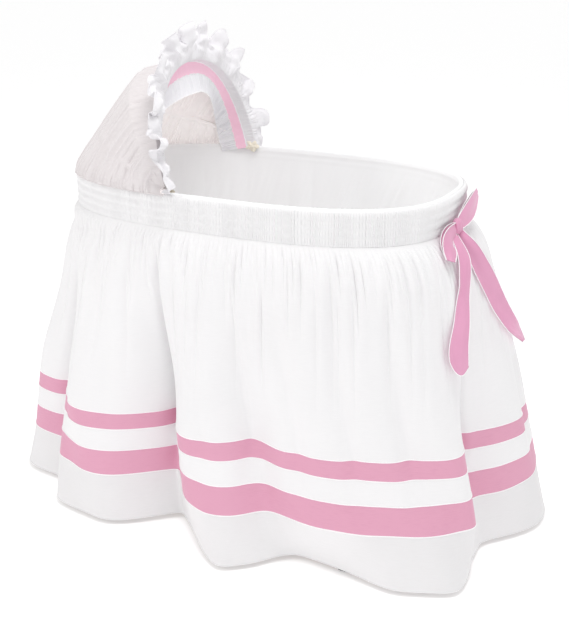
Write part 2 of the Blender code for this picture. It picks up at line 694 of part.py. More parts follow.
def main():
    clear_scene()
    outer_frame = body_empty("outer_frame", (0, 0, 0))
    inner_frame = body_empty("inner_frame", (0, 0, CROSSING_Z))
    basket = body_empty("basket", (0, 0, BASKET_BOTTOM))
    mattress = body_empty("mattress_pad", (0, 0, BASKET_BOTTOM))
    rear, middle, front = (body_empty(f"{name}_hoop", HINGE_MIDDLE) for name in ("rear", "middle", "front"))
    make_stand(outer_frame, inner_frame)
    make_basket(basket)
    make_liner(basket)
    make_mattress(mattress)
    make_skirt(basket)
    make_ribbon(basket)
    make_hood(basket, rear, middle, front)


main()
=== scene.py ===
"""Looks of the dressed moses basket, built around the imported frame.

X runs along the basket with the hood at -X, the near long side is -Y, Z is up, and everything is in
metres. Cloth is made as grids of points: rows down the cloth, columns along it.
"""

import math

import bmesh
import bpy
import numpy as np
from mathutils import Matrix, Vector


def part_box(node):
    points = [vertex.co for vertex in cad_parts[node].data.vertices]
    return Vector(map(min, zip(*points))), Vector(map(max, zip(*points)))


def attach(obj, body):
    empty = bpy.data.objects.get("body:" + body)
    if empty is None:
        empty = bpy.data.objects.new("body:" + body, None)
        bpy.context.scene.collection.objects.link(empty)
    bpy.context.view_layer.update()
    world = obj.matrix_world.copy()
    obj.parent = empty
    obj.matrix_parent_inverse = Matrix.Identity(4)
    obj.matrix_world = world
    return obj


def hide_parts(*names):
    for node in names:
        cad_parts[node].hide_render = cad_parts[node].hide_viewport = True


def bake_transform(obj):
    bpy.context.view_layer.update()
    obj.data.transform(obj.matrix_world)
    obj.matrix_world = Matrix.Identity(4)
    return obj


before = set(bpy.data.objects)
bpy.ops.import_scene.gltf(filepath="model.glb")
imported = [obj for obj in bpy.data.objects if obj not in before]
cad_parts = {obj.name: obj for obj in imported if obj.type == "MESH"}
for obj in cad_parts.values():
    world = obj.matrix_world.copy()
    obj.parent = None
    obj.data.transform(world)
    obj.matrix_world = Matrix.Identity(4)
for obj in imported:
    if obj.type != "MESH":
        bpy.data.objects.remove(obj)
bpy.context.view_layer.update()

# ---------------------------------------------------------------- sizes shared with the frame

RIM_HALF = np.array((0.425, 0.268))
RIM_POWER = 2.8
RIM_TOP = 0.7578
WAISTBAND_BOTTOM = 0.690
WAISTBAND_TOP = 0.752
WALL_OUTER = RIM_HALF - 0.0065
WALL_THICKNESS = 0.008
WALL_INNER = WALL_OUTER - WALL_THICKNESS
WALL_LOW = 0.5173
WALL_HIGH = 0.7447
BASKET_BOTTOM = 0.505
BASE_HALF = np.array((0.380, 0.220))
WALL_FOOT = BASE_HALF + 0.0105  # the wall's outer half sizes at its foot
MATTRESS_HALF = np.array((0.365, 0.205))
HEM_HALF = np.array((0.619, 0.367))
HEM_POWER = 2.3
HEM_BOTTOM = 0.012
HEM_TOP = 0.122
LOWER_STRIPE_TOP = 0.180
MIDDLE_STRIP_TOP = 0.229
UPPER_STRIPE_TOP = 0.267
GATHER_FLARE = 0.22
GATHER_DEPTH = 0.06

HINGE_NEAR = np.array((-0.100, -0.262, 0.769))
HINGE_FAR = np.array((-0.168, 0.262, 0.769))
HINGE_MIDDLE = (HINGE_NEAR + HINGE_FAR) / 2
HOOP_POWER = 2.2
FRONT_HOOP = {"half_width": 0.2445, "height": 0.228, "lean": 13.7}
MIDDLE_HOOP = {"half_width": 0.2505, "height": 0.243, "lean": 34.8}
REAR_HOOP = {"half_width": 0.2475, "height": 0.243, "lean": 66.9}
CANOPY_HALF_WIDTH = 0.2555
CANOPY_HEM = 0.757  # a little under the rim's top, so that the puff hides the rim

UP = np.array((0.0, 0.0, 1.0))
ACROSS = (HINGE_FAR - HINGE_NEAR) / np.linalg.norm(HINGE_FAR - HINGE_NEAR)
BACK = np.cross(UP, ACROSS)

# ---------------------------------------------------------------- camera, light and floor

CAMERA_AT = (1.015433, -1.942588, 1.240954)
CAMERA_TURN = 0.464597  # radians from straight across the near side
CAMERA_DOWN = 0.347790  # radians below level
CAMERA_LENS = 59.98


def make_camera():
    """The photograph's viewpoint, found from the ovals of the rim, the waistband and the hem."""
    ahead = Vector(
        (
            -math.sin(CAMERA_TURN) * math.cos(CAMERA_DOWN),
            math.cos(CAMERA_TURN) * math.cos(CAMERA_DOWN),
            -math.sin(CAMERA_DOWN),
        )
    )
    data = bpy.data.cameras.new("camera")
    data.lens = CAMERA_LENS
    data.sensor_width = 36.0
    camera = bpy.data.objects.new("camera", data)
    camera.location = CAMERA_AT
    camera.rotation_euler = ahead.to_track_quat("-Z", "Y").to_euler()
    bpy.context.scene.collection.objects.link(camera)
    bpy.context.scene.camera = camera


def area_light(name, place, target, size, watts, tint=(1.0, 1.0, 1.0)):
    data = bpy.data.lights.new(name, "AREA")
    data.shape = "DISK"
    data.size = size
    data.energy = watts
    data.color = tint
    light = bpy.data.objects.new(name, data)
    light.location = place
    toward = Vector(target) - Vector(place)
    light.rotation_euler = toward.to_track_quat("-Z", "Y").to_euler()
    bpy.context.scene.collection.objects.link(light)


def make_light():
    """A bright white room, with a soft key light from the near side of the head end."""
    world = bpy.data.worlds.new("studio")
    world.use_nodes = True
    background = world.node_tree.nodes["Background"]
    background.inputs["Color"].default_value = (1.0, 1.0, 1.0, 1.0)
    background.inputs["Strength"].default_value = 0.68
    bpy.context.scene.world = world
    bpy.context.scene.view_settings.view_transform = "Standard"
    area_light("key", (-2.2, -2.6, 2.6), (0, 0, 0.5), 0.9, 20, (1.0, 0.985, 0.97))
    area_light("fill", (2.6, -2.2, 1.6), (0, 0, 0.4), 1.6, 4, (0.97, 0.98, 1.0))
    area_light("top", (0.6, -0.4, 3.2), (0.1, 0, 0.6), 1.4, 30)


def make_floor():
    """A white floor that is also the backdrop."""
    bpy.ops.mesh.primitive_plane_add(size=60.0, location=(0, 0, 0))
    floor = bpy.context.object
    floor.name = "floor"
    paper = plain("floor_white", (0.95, 0.95, 0.95), 0.9)
    glow(paper, (1.0, 1.0, 1.0), 0.345)
    floor.data.materials.append(paper)


# ---------------------------------------------------------------- materials


class Nodes:
    """A short way to make and join shader nodes."""

    def __init__(self, name):
        self.material = bpy.data.materials.new(name)
        self.material.use_nodes = True
        self.tree = self.material.node_tree
        self.shader = self.tree.nodes["Principled BSDF"]
        self.place = self.add("ShaderNodeTexCoord").outputs["Object"]

    def add(self, kind, settings=(), **inputs):
        node = self.tree.nodes.new(kind)
        for key, value in dict(settings).items():
            setattr(node, key, value)
        for key, value in inputs.items():
            self.put(node, key.replace("_", " ").title(), value)
        return node

    def put(self, node, socket, value):
        target = node.inputs[socket]
        if isinstance(value, bpy.types.NodeSocket):
            self.tree.links.new(value, target)
        else:
            target.default_value = value

    def scaled(self, vector):
        node = self.add("ShaderNodeMapping", vector=self.place)
        node.inputs["Scale"].default_value = vector
        return node.outputs["Vector"]

    def noise(self, scale, detail=2.0, vector=None, roughness=0.5):
        node = self.add("ShaderNodeTexNoise", vector=vector or self.place)
        node.inputs["Scale"].default_value = scale
        node.inputs["Detail"].default_value = detail
        node.inputs["Roughness"].default_value = roughness
        return node.outputs["Fac"]

    def waves(self, scale, direction="X", distortion=0.0, vector=None):
        node = self.add("ShaderNodeTexWave", {"bands_direction": direction}, vector=vector or self.place)
        node.inputs["Scale"].default_value = scale
        node.inputs["Distortion"].default_value = distortion
        node.inputs["Detail Scale"].default_value = 1.5
        return node.outputs["Fac"]

    def maths(self, operation, a, b=0.0):
        node = self.add("ShaderNodeMath", {"operation": operation})
        self.put(node, 0, a)
        self.put(node, 1, b)
        return node.outputs["Value"]

    def blend_colours(self, share, low, high, stops=(0.3, 0.7)):
        node = self.add("ShaderNodeValToRGB")
        self.put(node, "Fac", share)
        ramp = node.color_ramp
        ramp.elements[0].position, ramp.elements[1].position = stops
        ramp.elements[0].color = (*low, 1.0)
        ramp.elements[1].color = (*high, 1.0)
        return node.outputs["Color"]

    def bump(self, height, strength, distance, below=None):
        node = self.add("ShaderNodeBump", height=height)
        node.inputs["Strength"].default_value = strength
        node.inputs["Distance"].default_value = distance
        if below is not None:
            self.put(node, "Normal", below)
        return node.outputs["Normal"]

    def finish(self, colour, roughness, normal=None, **uniform):
        self.put(self.shader, "Base Color", colour)
        self.put(self.shader, "Roughness", roughness)
        if normal is not None:
            self.put(self.shader, "Normal", normal)
        for key, value in uniform.items():
            self.shader.inputs[key.replace("_", " ").title()].default_value = value
        return self.material


def plain(name, colour, roughness):
    """Painted board with a faint mottle, for the floor."""
    made = Nodes(name)
    mottle = made.noise(3.0, 2.0)
    low = tuple(c * 0.992 for c in colour)
    return made.finish(made.blend_colours(mottle, low, colour), roughness)


def cotton(name, light, dark, thread=0.0009, sheen=0.25, slubs=0.5):
    """Plain-woven cotton: crossed threads, a few thicker slubs, and slight unevenness of the dye."""
    made = Nodes(name)
    across = made.waves(1.0 / thread / 6.0, "DIAGONAL", 1.0)
    upright = made.waves(1.0 / thread / 6.0, "Z", 1.0)
    weave = made.maths("MULTIPLY", across, upright)
    slub = made.noise(60.0, 3.0, made.scaled((1.0, 1.0, 12.0)))
    uneven = made.noise(7.0, 3.0)
    share = made.maths("ADD", made.maths("MULTIPLY", slub, slubs), made.maths("MULTIPLY", uneven, 0.5))
    colour = made.blend_colours(share, dark, light, (0.25, 0.62))
    rough = made.maths("ADD", made.maths("MULTIPLY", weave, 0.1), 0.8)
    fine = made.bump(weave, 0.35, 0.0002)
    soft = made.bump(made.noise(45.0, 4.0), 0.12, 0.0008, fine)
    return made.finish(colour, rough, soft, Sheen_Weight=sheen, Sheen_Roughness=0.4)


def satin(name, light, dark):
    """Ribbon cloth: finer and slightly glossier than the skirt's cotton."""
    made = Nodes(name)
    ribs = made.waves(260.0, "DIAGONAL", 0.6)
    uneven = made.noise(14.0, 3.0)
    colour = made.blend_colours(uneven, dark, light, (0.2, 0.7))
    rough = made.maths("ADD", made.maths("MULTIPLY", ribs, 0.12), 0.5)
    return made.finish(colour, rough, made.bump(ribs, 0.2, 0.0002), Sheen_Weight=0.3)


def wood(name, light, dark, along=(1.0, 1.0, 1.0)):
    """Varnished beech, with its grain stretched along the part."""
    made = Nodes(name)
    stretched = made.scaled(along)
    grain = made.noise(26.0, 6.0, stretched, 0.65)
    pores = made.noise(240.0, 3.0, stretched)
    mixed = made.maths("ADD", made.maths("MULTIPLY", grain, 0.8), made.maths("MULTIPLY", pores, 0.2))
    colour = made.blend_colours(mixed, dark, light, (0.35, 0.62))
    rough = made.maths("ADD", made.maths("MULTIPLY", grain, 0.2), 0.35)
    return made.finish(colour, rough, made.bump(mixed, 0.15, 0.0006), Coat_Weight=0.15)


def willow(name, light, dark):
    """Peeled willow: long streaks and patches, with a dull shine."""
    made = Nodes(name)
    streaks = made.noise(90.0, 4.0, made.scaled((1.0, 1.0, 5.0)))
    patches = made.noise(11.0, 2.0)
    share = made.maths("ADD", made.maths("MULTIPLY", streaks, 0.5), made.maths("MULTIPLY", patches, 0.5))
    colour = made.blend_colours(share, dark, light, (0.3, 0.66))
    rough = made.maths("ADD", made.maths("MULTIPLY", streaks, 0.25), 0.4)
    return made.finish(colour, rough, made.bump(streaks, 0.3, 0.0006))


def moulded(name, light, dark, roughness, pitch=900.0, depth=0.0001):
    """Moulded plastic or rubber with a fine grain."""
    made = Nodes(name)
    grain = made.noise(pitch, 2.0)
    patches = made.noise(20.0, 2.0)
    colour = made.blend_colours(patches, dark, light)
    rough = made.maths("ADD", made.maths("MULTIPLY", grain, 0.12), roughness)
    return made.finish(colour, rough, made.bump(grain, 0.25, depth))


def brushed_steel(name):
    """Plated steel with fine lines."""
    made = Nodes(name)
    lines = made.noise(400.0, 3.0, made.scaled((1.0, 12.0, 12.0)))
    colour = made.blend_colours(lines, (0.50, 0.50, 0.52), (0.66, 0.66, 0.68))
    rough = made.maths("ADD", made.maths("MULTIPLY", lines, 0.15), 0.22)
    return made.finish(colour, rough, made.bump(lines, 0.1, 0.0001), Metallic=1.0)


def glow(look, colour, strength):
    """Gives a look an emission of its own. On the cloths this is painted light where the lamps leave them
    in shade; on the floor it keeps the backdrop evenly white.
    """
    inputs = look.node_tree.nodes["Principled BSDF"].inputs
    inputs["Emission Color"].default_value = (*colour, 1.0)
    inputs["Emission Strength"].default_value = strength


WHITE = cotton("white_cotton_cloth", (0.872, 0.865, 0.872), (0.84, 0.832, 0.84))
# A greyer copy of the white cotton for the hem: painted shade, since the bright floor lights the hem more
# than the upper skirt.
HEM_WHITE_PAINTED_SHADE = cotton("hem_cloth_painted_shade", (0.80, 0.79, 0.797), (0.765, 0.755, 0.76))
# The hood's beige-pink lining, lighter than its cloth and with a glow: painted light inside the hood, where
# the lamps leave it in shade.
LINING_PAINTED_LIGHT = cotton("hood_lining_painted_light", (0.985, 0.945, 0.935), (0.96, 0.915, 0.905))
glow(LINING_PAINTED_LIGHT, (1.0, 0.94, 0.93), 0.13)
# A lighter copy of the white cotton for the liner: painted light against the shade inside the basket.
LINER_CLOTH_PAINTED_LIGHT = cotton("liner_cloth_painted_light", (0.96, 0.96, 0.965), (0.94, 0.94, 0.945))
# A darker, slightly pink copy of the white cotton for the hood and its hem cord: painted shade, since the
# top light falls full on the canopy.
HOOD_WHITE_PAINTED_SHADE = cotton("hood_cloth_painted_shade", (0.755, 0.715, 0.72), (0.705, 0.66, 0.665))
# The shirred band's white cotton, a little lighter and with a faint glow: painted light where the hood
# shades the band.
SHIRRED_WHITE_PAINTED_LIGHT = cotton("shirred_cloth_painted_light", (0.88, 0.87, 0.90), (0.85, 0.84, 0.87))
glow(SHIRRED_WHITE_PAINTED_LIGHT, (0.98, 0.97, 1.0), 0.03)
RUFFLE_WHITE = cotton("ruffle_cloth", (0.855, 0.84, 0.862), (0.82, 0.805, 0.828))
PIPING = cotton("piping_cloth", (0.97, 0.96, 0.965), (0.95, 0.935, 0.945), sheen=0.1)
PINK = cotton("pink_cotton_cloth", (0.735, 0.362, 0.49), (0.68, 0.315, 0.44), sheen=0.15, slubs=0.7)
# The pink band's own pale pink, raised lighter and given a glow: painted light where the hood shades the
# band.
PALE_PINK_PAINTED_LIGHT = cotton("pale_pink_painted_light", (0.96, 0.60, 0.74), (0.92, 0.55, 0.69), sheen=0.15)
glow(PALE_PINK_PAINTED_LIGHT, (1.0, 0.72, 0.82), 0.06)
RIBBON = satin("ribbon_cloth", (0.765, 0.36, 0.535), (0.70, 0.315, 0.48))
TICKING = cotton("mattress_cloth", (0.90, 0.90, 0.895), (0.86, 0.86, 0.85), thread=0.0013)
CREAM = cotton("cream_cloth", (0.91, 0.85, 0.73), (0.85, 0.78, 0.64), thread=0.0006)
WEBBING = cotton("webbing", (0.82, 0.79, 0.71), (0.74, 0.70, 0.62), thread=0.0018, slubs=0.8)
WICKER = willow("willow", (0.66, 0.46, 0.24), (0.42, 0.26, 0.12))
BEECH_ALONG = wood("beech_leg", (0.72, 0.50, 0.31), (0.56, 0.36, 0.20), (8.0, 1.0, 1.0))
BEECH_RAIL = wood("beech_rail", (0.72, 0.50, 0.31), (0.57, 0.37, 0.21), (1.0, 9.0, 9.0))
STEEL = brushed_steel("zinc_steel")
RUBBER = moulded("rubber_feet", (0.11, 0.11, 0.11), (0.07, 0.07, 0.07), 0.7, 500.0, 0.0002)
PLASTIC = moulded("white_plastic_bow", (0.88, 0.87, 0.84), (0.82, 0.81, 0.78), 0.33)

# ---------------------------------------------------------------- small tools for grids


def surface(name, grid, looks, ring=False, pick=None):
    """A cloth surface through a grid of points. With ring, its columns close on themselves.
    pick(row, column) gives the number of a face's look."""
    rows, columns = grid.shape[:2]
    index = np.arange(rows * columns).reshape(rows, columns)
    right = np.roll(index, -1, axis=1) if ring else index[:, 1:]
    left = index if ring else index[:, :-1]
    quads = np.stack((left[:-1], right[:-1], right[1:], left[1:]), axis=-1).reshape(-1, 4)
    mesh = bpy.data.meshes.new(name)
    mesh.vertices.add(rows * columns)
    mesh.vertices.foreach_set("co", grid.reshape(-1).astype(np.float32))
    mesh.loops.add(quads.size)
    mesh.loops.foreach_set("vertex_index", quads.reshape(-1).astype(np.int32))
    mesh.polygons.add(len(quads))
    mesh.polygons.foreach_set("loop_start", np.arange(0, quads.size, 4, dtype=np.int32))
    mesh.update(calc_edges=True)
    mesh.validate()
    mesh.shade_smooth()
    for look in looks:
        mesh.materials.append(look)
    if pick is not None:
        across = columns if ring else columns - 1
        numbers = [pick(r, c) for r in range(rows - 1) for c in range(across)]
        mesh.polygons.foreach_set("material_index", np.array(numbers, dtype=np.int32))
    made = bpy.data.objects.new(name, mesh)
    bpy.context.scene.collection.objects.link(made)
    return made


def unit(v):
    """Vectors of length one."""
    return v / np.maximum(np.linalg.norm(v, axis=-1, keepdims=True), 1e-12)


def smoothstep(x, low=0.0, high=1.0):
    """A smooth rise from 0 at low to 1 at high."""
    t = np.clip((x - low) / (high - low), 0.0, 1.0)
    return t * t * (3 - 2 * t)


def soften(values, width):
    """Smooths a closed row of values; width is a share of the whole way round."""
    waves = np.fft.rfftfreq(len(values), 1 / len(values))
    return np.fft.irfft(np.fft.rfft(values) * np.exp(-2 * (math.pi * waves * width) ** 2), len(values))


def wander(turn, seed, waves, strength=1.0):
    """Smooth wandering numbers round a ring, the same every run. turn runs from 0 to 1."""
    random = np.random.default_rng(seed)
    total = np.zeros_like(turn)
    for wave in waves:
        total += random.uniform(0.5, 1.0) * np.sin(2 * math.pi * (wave * turn + random.uniform()))
    return strength * total / math.sqrt(len(waves))


def tube(name, path, radius, look, sides=8, ring=False, flat=1.0, up=UP):
    """A round or flattened tube along a path of points."""
    ahead = np.roll(path, -1, axis=0) - np.roll(path, 1, axis=0)
    if not ring:
        ahead[0], ahead[-1] = path[1] - path[0], path[-1] - path[-2]
    ahead = unit(ahead)
    side = unit(np.cross(ahead, up))
    top = np.cross(side, ahead)
    angle = np.linspace(0, 2 * math.pi, sides, endpoint=False)
    offsets = np.cos(angle)[:, None, None] * side * flat + np.sin(angle)[:, None, None] * top
    radii = np.broadcast_to(np.asarray(radius, dtype=float), (len(path),))
    grid = path + offsets * radii[:, None]
    return closed_tube(name, grid, look, ring)


def closed_tube(name, grid, look, ring):
    """A tube from rings of points: grid is (round the tube, along it, 3)."""
    grid = np.concatenate((grid, grid[:1]), axis=0)
    made = surface(name, grid, [look], ring)
    weld(made)
    if not ring:
        cap_ends(made)
    return made


def weld(obj, reach=1e-6):
    """Merges the points that lie on each other."""
    bm = bmesh.new()
    bm.from_mesh(obj.data)
    bmesh.ops.remove_doubles(bm, verts=bm.verts, dist=reach)
    bmesh.ops.recalc_face_normals(bm, faces=bm.faces)
    bm.to_mesh(obj.data)
    bm.free()
    obj.data.shade_smooth()


def cap_ends(obj):
    """Closes the open ends of a tube."""
    bm = bmesh.new()
    bm.from_mesh(obj.data)
    bmesh.ops.holes_fill(bm, edges=bm.edges, sides=0)
    bmesh.ops.recalc_face_normals(bm, faces=bm.faces)
    bm.to_mesh(obj.data)
    bm.free()


def join(name, pieces):
    """Makes one piece of several."""
    with bpy.context.temp_override(
        active_object=pieces[0], object=pieces[0], selected_editable_objects=pieces, selected_objects=pieces
    ):
        bpy.ops.object.join()
    pieces[0].name = name
    pieces[0].data.name = name
    return pieces[0]


def area_of(grid, ring=False):
    """The area of a grid's surface."""
    right = np.roll(grid, -1, axis=1) if ring else grid[:, 1:]
    left = grid if ring else grid[:, :-1]
    one = np.cross(right[:-1] - left[:-1], left[1:] - left[:-1])
    two = np.cross(right[1:] - right[:-1], right[1:] - left[1:])
    return float((np.linalg.norm(one, axis=-1) + np.linalg.norm(two, axis=-1)).sum() / 2)


def length_of(path, ring=False):
    """The length of a path of points."""
    steps = np.roll(path, -1, axis=0) - path if ring else path[1:] - path[:-1]
    return float(np.linalg.norm(steps, axis=-1).sum())


# ---------------------------------------------------------------- ovals


def oval(half, power, turn):
    """Points of an oval and its outward directions, spread evenly by length. turn 0 is the foot end and
    0.25 the far side."""
    angle = np.linspace(0, math.pi / 2, 1500)
    x = half[0] * np.cos(angle) ** (2 / power)
    y = half[1] * np.sin(angle) ** (2 / power)
    walked = np.concatenate(((0,), np.cumsum(np.hypot(np.diff(x), np.diff(y)))))
    walked /= walked[-1]
    quarter = np.floor(turn * 4).astype(int) % 4
    share = (turn * 4) % 1.0
    share = np.where(quarter % 2 == 0, share, 1 - share)
    px = np.interp(share, walked, x) * np.where((quarter == 1) | (quarter == 2), -1, 1)
    py = np.interp(share, walked, y) * np.where(quarter >= 2, -1, 1)
    nx = np.sign(px) * np.abs(px / half[0]) ** (power - 1) / half[0]
    ny = np.sign(py) * np.abs(py / half[1]) ** (power - 1) / half[1]
    size = np.hypot(nx, ny)
    return np.stack((px, py), axis=-1), np.stack((nx / size, ny / size), axis=-1)


def turns(count):
    """Even places round an oval, from 0 up to 1."""
    return np.arange(count) / count


def at_level(xy, z):
    """Points of a plan at one height, or each at its own."""
    heights = np.broadcast_to(z, (len(xy),))
    return np.concatenate((xy, heights[:, None]), axis=1)


# ---------------------------------------------------------------- skirt

SKIRT_COLUMNS = 1800

# The skirt's big folds, in degrees of the way round from the foot end by the far side: the fold's place
# at the top of the stripes, how far it has moved along at the hem, and its share of the plain oval's
# size at the hem, under the stripes and over the stripes.
BIG_FOLDS = (
    (0, 0, 0.93, 0.955, 0.955),
    (9, 0, 1.03, 1.02, 1.03),
    (22, 0, 1.09, 1.09, 1.07),
    (37, 0, 1.12, 1.13, 1.13),
    (50, 0, 0.93, 0.94, 0.95),
    (62, 0, 0.99, 1.00, 1.02),
    (73, 0, 0.84, 0.86, 0.88),
    (88, 0, 1.02, 1.02, 1.01),
    (101, 0, 0.95, 0.95, 0.96),
    (113, 0, 0.78, 0.80, 0.83),
    (127, 0, 0.99, 1.00, 1.00),
    (141, 0, 1.00, 0.99, 0.98),
    (152, 0, 0.83, 0.85, 0.87),
    (166, 0, 1.00, 1.00, 1.00),
    (180, 0, 0.93, 0.94, 0.95),
    (191, 0, 1.01, 1.00, 1.00),
    (204.5, 0, 1.03, 1.025, 1.02),
    (213.5, -1.5, 0.86, 0.88, 0.90),
    (227, -3, 1.00, 1.02, 1.035),
    (236, -3, 1.01, 1.01, 1.01),
    (243, 0, 0.93, 0.945, 0.96),
    (250, 1, 0.62, 0.63, 0.65),
    (257.5, 2, 0.70, 0.76, 0.80),
    (265, 4, 0.86, 0.95, 0.98),
    (271, 7, 1.05, 1.04, 0.995),
    (277, 6, 0.95, 0.99, 0.925),
    (287, 3, 0.86, 0.88, 0.83),
    (295, 6, 0.76, 0.90, 0.892),
    (302, 3, 0.78, 0.95, 0.935),
    (310, 4, 0.895, 0.978, 0.94),
    (318, 0, 1.01, 0.99, 0.943),
    (333, -2, 1.06, 1.02, 0.96),
    (342, -3, 0.98, 1.005, 0.968),
    (348, -2, 0.88, 0.88, 0.90),
    (354, 0, 0.87, 0.885, 0.88),
)
FOLD_SOFTNESS = 0.0055  # a share of the way round, over which a ridge or valley is rounded off


def fold_shares(turn):
    """The shares of the oval at the hem, under the stripes and over them, round the whole skirt."""
    folds = np.array(BIG_FOLDS)
    rows = []
    for moved, column in ((1.0, 2), (0.5, 3), (0.0, 4)):
        at = (folds[:, 0] + moved * folds[:, 1]) / 360
        at = np.concatenate((at - 1, at, at + 1))
        size = np.tile(folds[:, column], 3)
        rows.append(soften(np.interp(turn, at, size), FOLD_SOFTNESS))
    return rows


def flare(z):
    """How far the skirt has grown from the rim's oval (0) to the hem's (1): it springs out at once under
    the gathers and then widens evenly."""
    t = (WAISTBAND_BOTTOM - z) / (WAISTBAND_BOTTOM - HEM_BOTTOM)
    spring = GATHER_FLARE * (1 - math.exp(-t / GATHER_DEPTH))
    full = GATHER_FLARE * (1 - math.exp(-1 / GATHER_DEPTH)) + (1 - GATHER_FLARE)
    return max((spring + (1 - GATHER_FLARE) * t) / full, 0.0)


def gather(turn, pleats, seed, sway):
    """Rounded tubes of cloth with sharp valleys between them, unevenly spaced. From -1 to 1."""
    warped = turn + wander(turn, seed, (7, 13, 23, 41), sway / pleats)
    height = np.abs(np.sin(math.pi * pleats * warped)) ** 0.65
    uneven = 1 + wander(turn, seed + 1, (17, 29, 53, 71), 0.22)
    return (2 * height - 1) * uneven


# Gathers below the waistband: number round the skirt, how far out they stand, and the heights between
# which they rise and die out.
GATHERS = (
    (250, 0.0018, 0.690, 0.675, 0.620),
    (118, 0.0028, 0.688, 0.655, 0.560),
    (56, 0.0036, 0.680, 0.620, 0.480),
    (31, 0.0042, 0.660, 0.560, 0.300),
)

# Creases that run down the skirt between its big folds: place in degrees round, depth, width in degrees,
# the height at which they start, and how many degrees further round they start than they end.
CREASES = (
    (212.5, 0.024, 1.6, 0.672, 3.0),
    (226.0, 0.006, 2.4, 0.640, 2.0),
    (250.5, 0.032, 1.6, 0.668, 4.5),
    (272.0, 0.006, 2.4, 0.630, -3.0),
    (284.0, 0.007, 2.2, 0.650, -7.0),
    (299.0, 0.007, 2.4, 0.640, -9.0),
    (313.0, 0.006, 2.2, 0.650, -8.0),
    (327.0, 0.007, 2.4, 0.640, -6.0),
    (351.0, 0.024, 1.7, 0.668, -2.0),
    (14.0, 0.008, 2.2, 0.650, 0.0),
    (52.0, 0.012, 2.0, 0.650, 0.0),
    (113.0, 0.016, 1.9, 0.660, 0.0),
    (152.0, 0.012, 1.9, 0.655, 0.0),
)
DRIFT_SLANT = 0.10  # how far round the broad soft folds move on, in turns for each metre down
HEAD_TIGHT = 0.050  # how much closer the cloth hangs under the rim at the head end


def creases(z, turn):
    """How deep the creases cut in at one level."""
    total = np.zeros_like(turn)
    for place, depth, width, top, lean in CREASES:
        here = place + lean * max(z - UPPER_STRIPE_TOP, 0.0) / (WAISTBAND_BOTTOM - UPPER_STRIPE_TOP)
        away = (turn * 360 - here + 180) % 360 - 180
        strength = float(smoothstep(top - z, 0.0, 0.20) * smoothstep(z, 0.10, 0.30))
        total += depth * strength * np.exp(-((away / width) ** 2))
    return total


def drifts(z, turn):
    """Broad soft folds that slant down the skirt."""
    slanted = turn - DRIFT_SLANT * (WAISTBAND_BOTTOM - z)
    strength = float(smoothstep(WAISTBAND_BOTTOM - z, 0.0, 0.16))
    return wander(slanted, 97, (11, 17, 24), 0.0066) * strength


def skirt_row(z, turn, shares, pleats):
    """One level of the skirt."""
    grown = flare(z)
    half = RIM_HALF + (HEM_HALF - RIM_HALF) * grown
    power = RIM_POWER + (HEM_POWER - RIM_POWER) * grown
    xy, out = oval(half, power, turn)
    hem_share, low_share, top_share = shares
    if z < HEM_TOP:
        share = hem_share + (low_share - hem_share) * (z - HEM_BOTTOM) / (HEM_TOP - HEM_BOTTOM)
    elif z < UPPER_STRIPE_TOP:
        share = low_share + (top_share - low_share) * (z - HEM_TOP) / (UPPER_STRIPE_TOP - HEM_TOP)
    else:
        fade = float(smoothstep(WAISTBAND_BOTTOM - z, 0.0, WAISTBAND_BOTTOM - UPPER_STRIPE_TOP))
        share = 1 + (top_share - 1) * fade
    drop = WAISTBAND_BOTTOM - z
    tight = float(smoothstep(drop, 0.0, 0.05) * (1 - smoothstep(drop, 0.17, 0.40)))
    headward = smoothstep(-np.cos(2 * math.pi * turn), 0.1, 0.9)
    xy = xy * (share - HEAD_TIGHT * tight * headward)[:, None]
    stand = drifts(z, turn) - creases(z, turn)
    for (_, depth, start, peak, end), shape in zip(GATHERS, pleats):
        rise = float(smoothstep(start - z, 0.0, start - peak))
        fall = 1 - float(smoothstep(peak - z, 0.0, peak - end))
        stand += shape * depth * rise * fall
    xy = xy + out * stand[:, None]
    return at_level(xy, z)


def skirt_rows(heights, count=SKIRT_COLUMNS):
    """The skirt's levels, one row for each height."""
    turn = turns(count)
    shares = fold_shares(turn)
    pleats = [gather(turn, g[0], 11 + 5 * i, 0.45) for i, g in enumerate(GATHERS)]
    return np.stack([skirt_row(z, turn, shares, pleats) for z in heights])


def levels(low, high, count):
    """Even heights from the top of a strip down to its bottom."""
    return np.linspace(high, low, count)


SKIRT_SEAMS = (HEM_TOP, LOWER_STRIPE_TOP, MIDDLE_STRIP_TOP, UPPER_STRIPE_TOP)
SKIRT_CLOTH_WIDTH = 3.45  # metres of cloth gathered into the waistband
FINE_GATHERS_END = 0.600


def upper_levels():
    """The upper panel's heights: closer together where it is gathered under the waistband."""
    near_band = np.linspace(WAISTBAND_BOTTOM, FINE_GATHERS_END, 34, endpoint=False)
    return np.concatenate((near_band, np.linspace(FINE_GATHERS_END, UPPER_STRIPE_TOP, 42)))


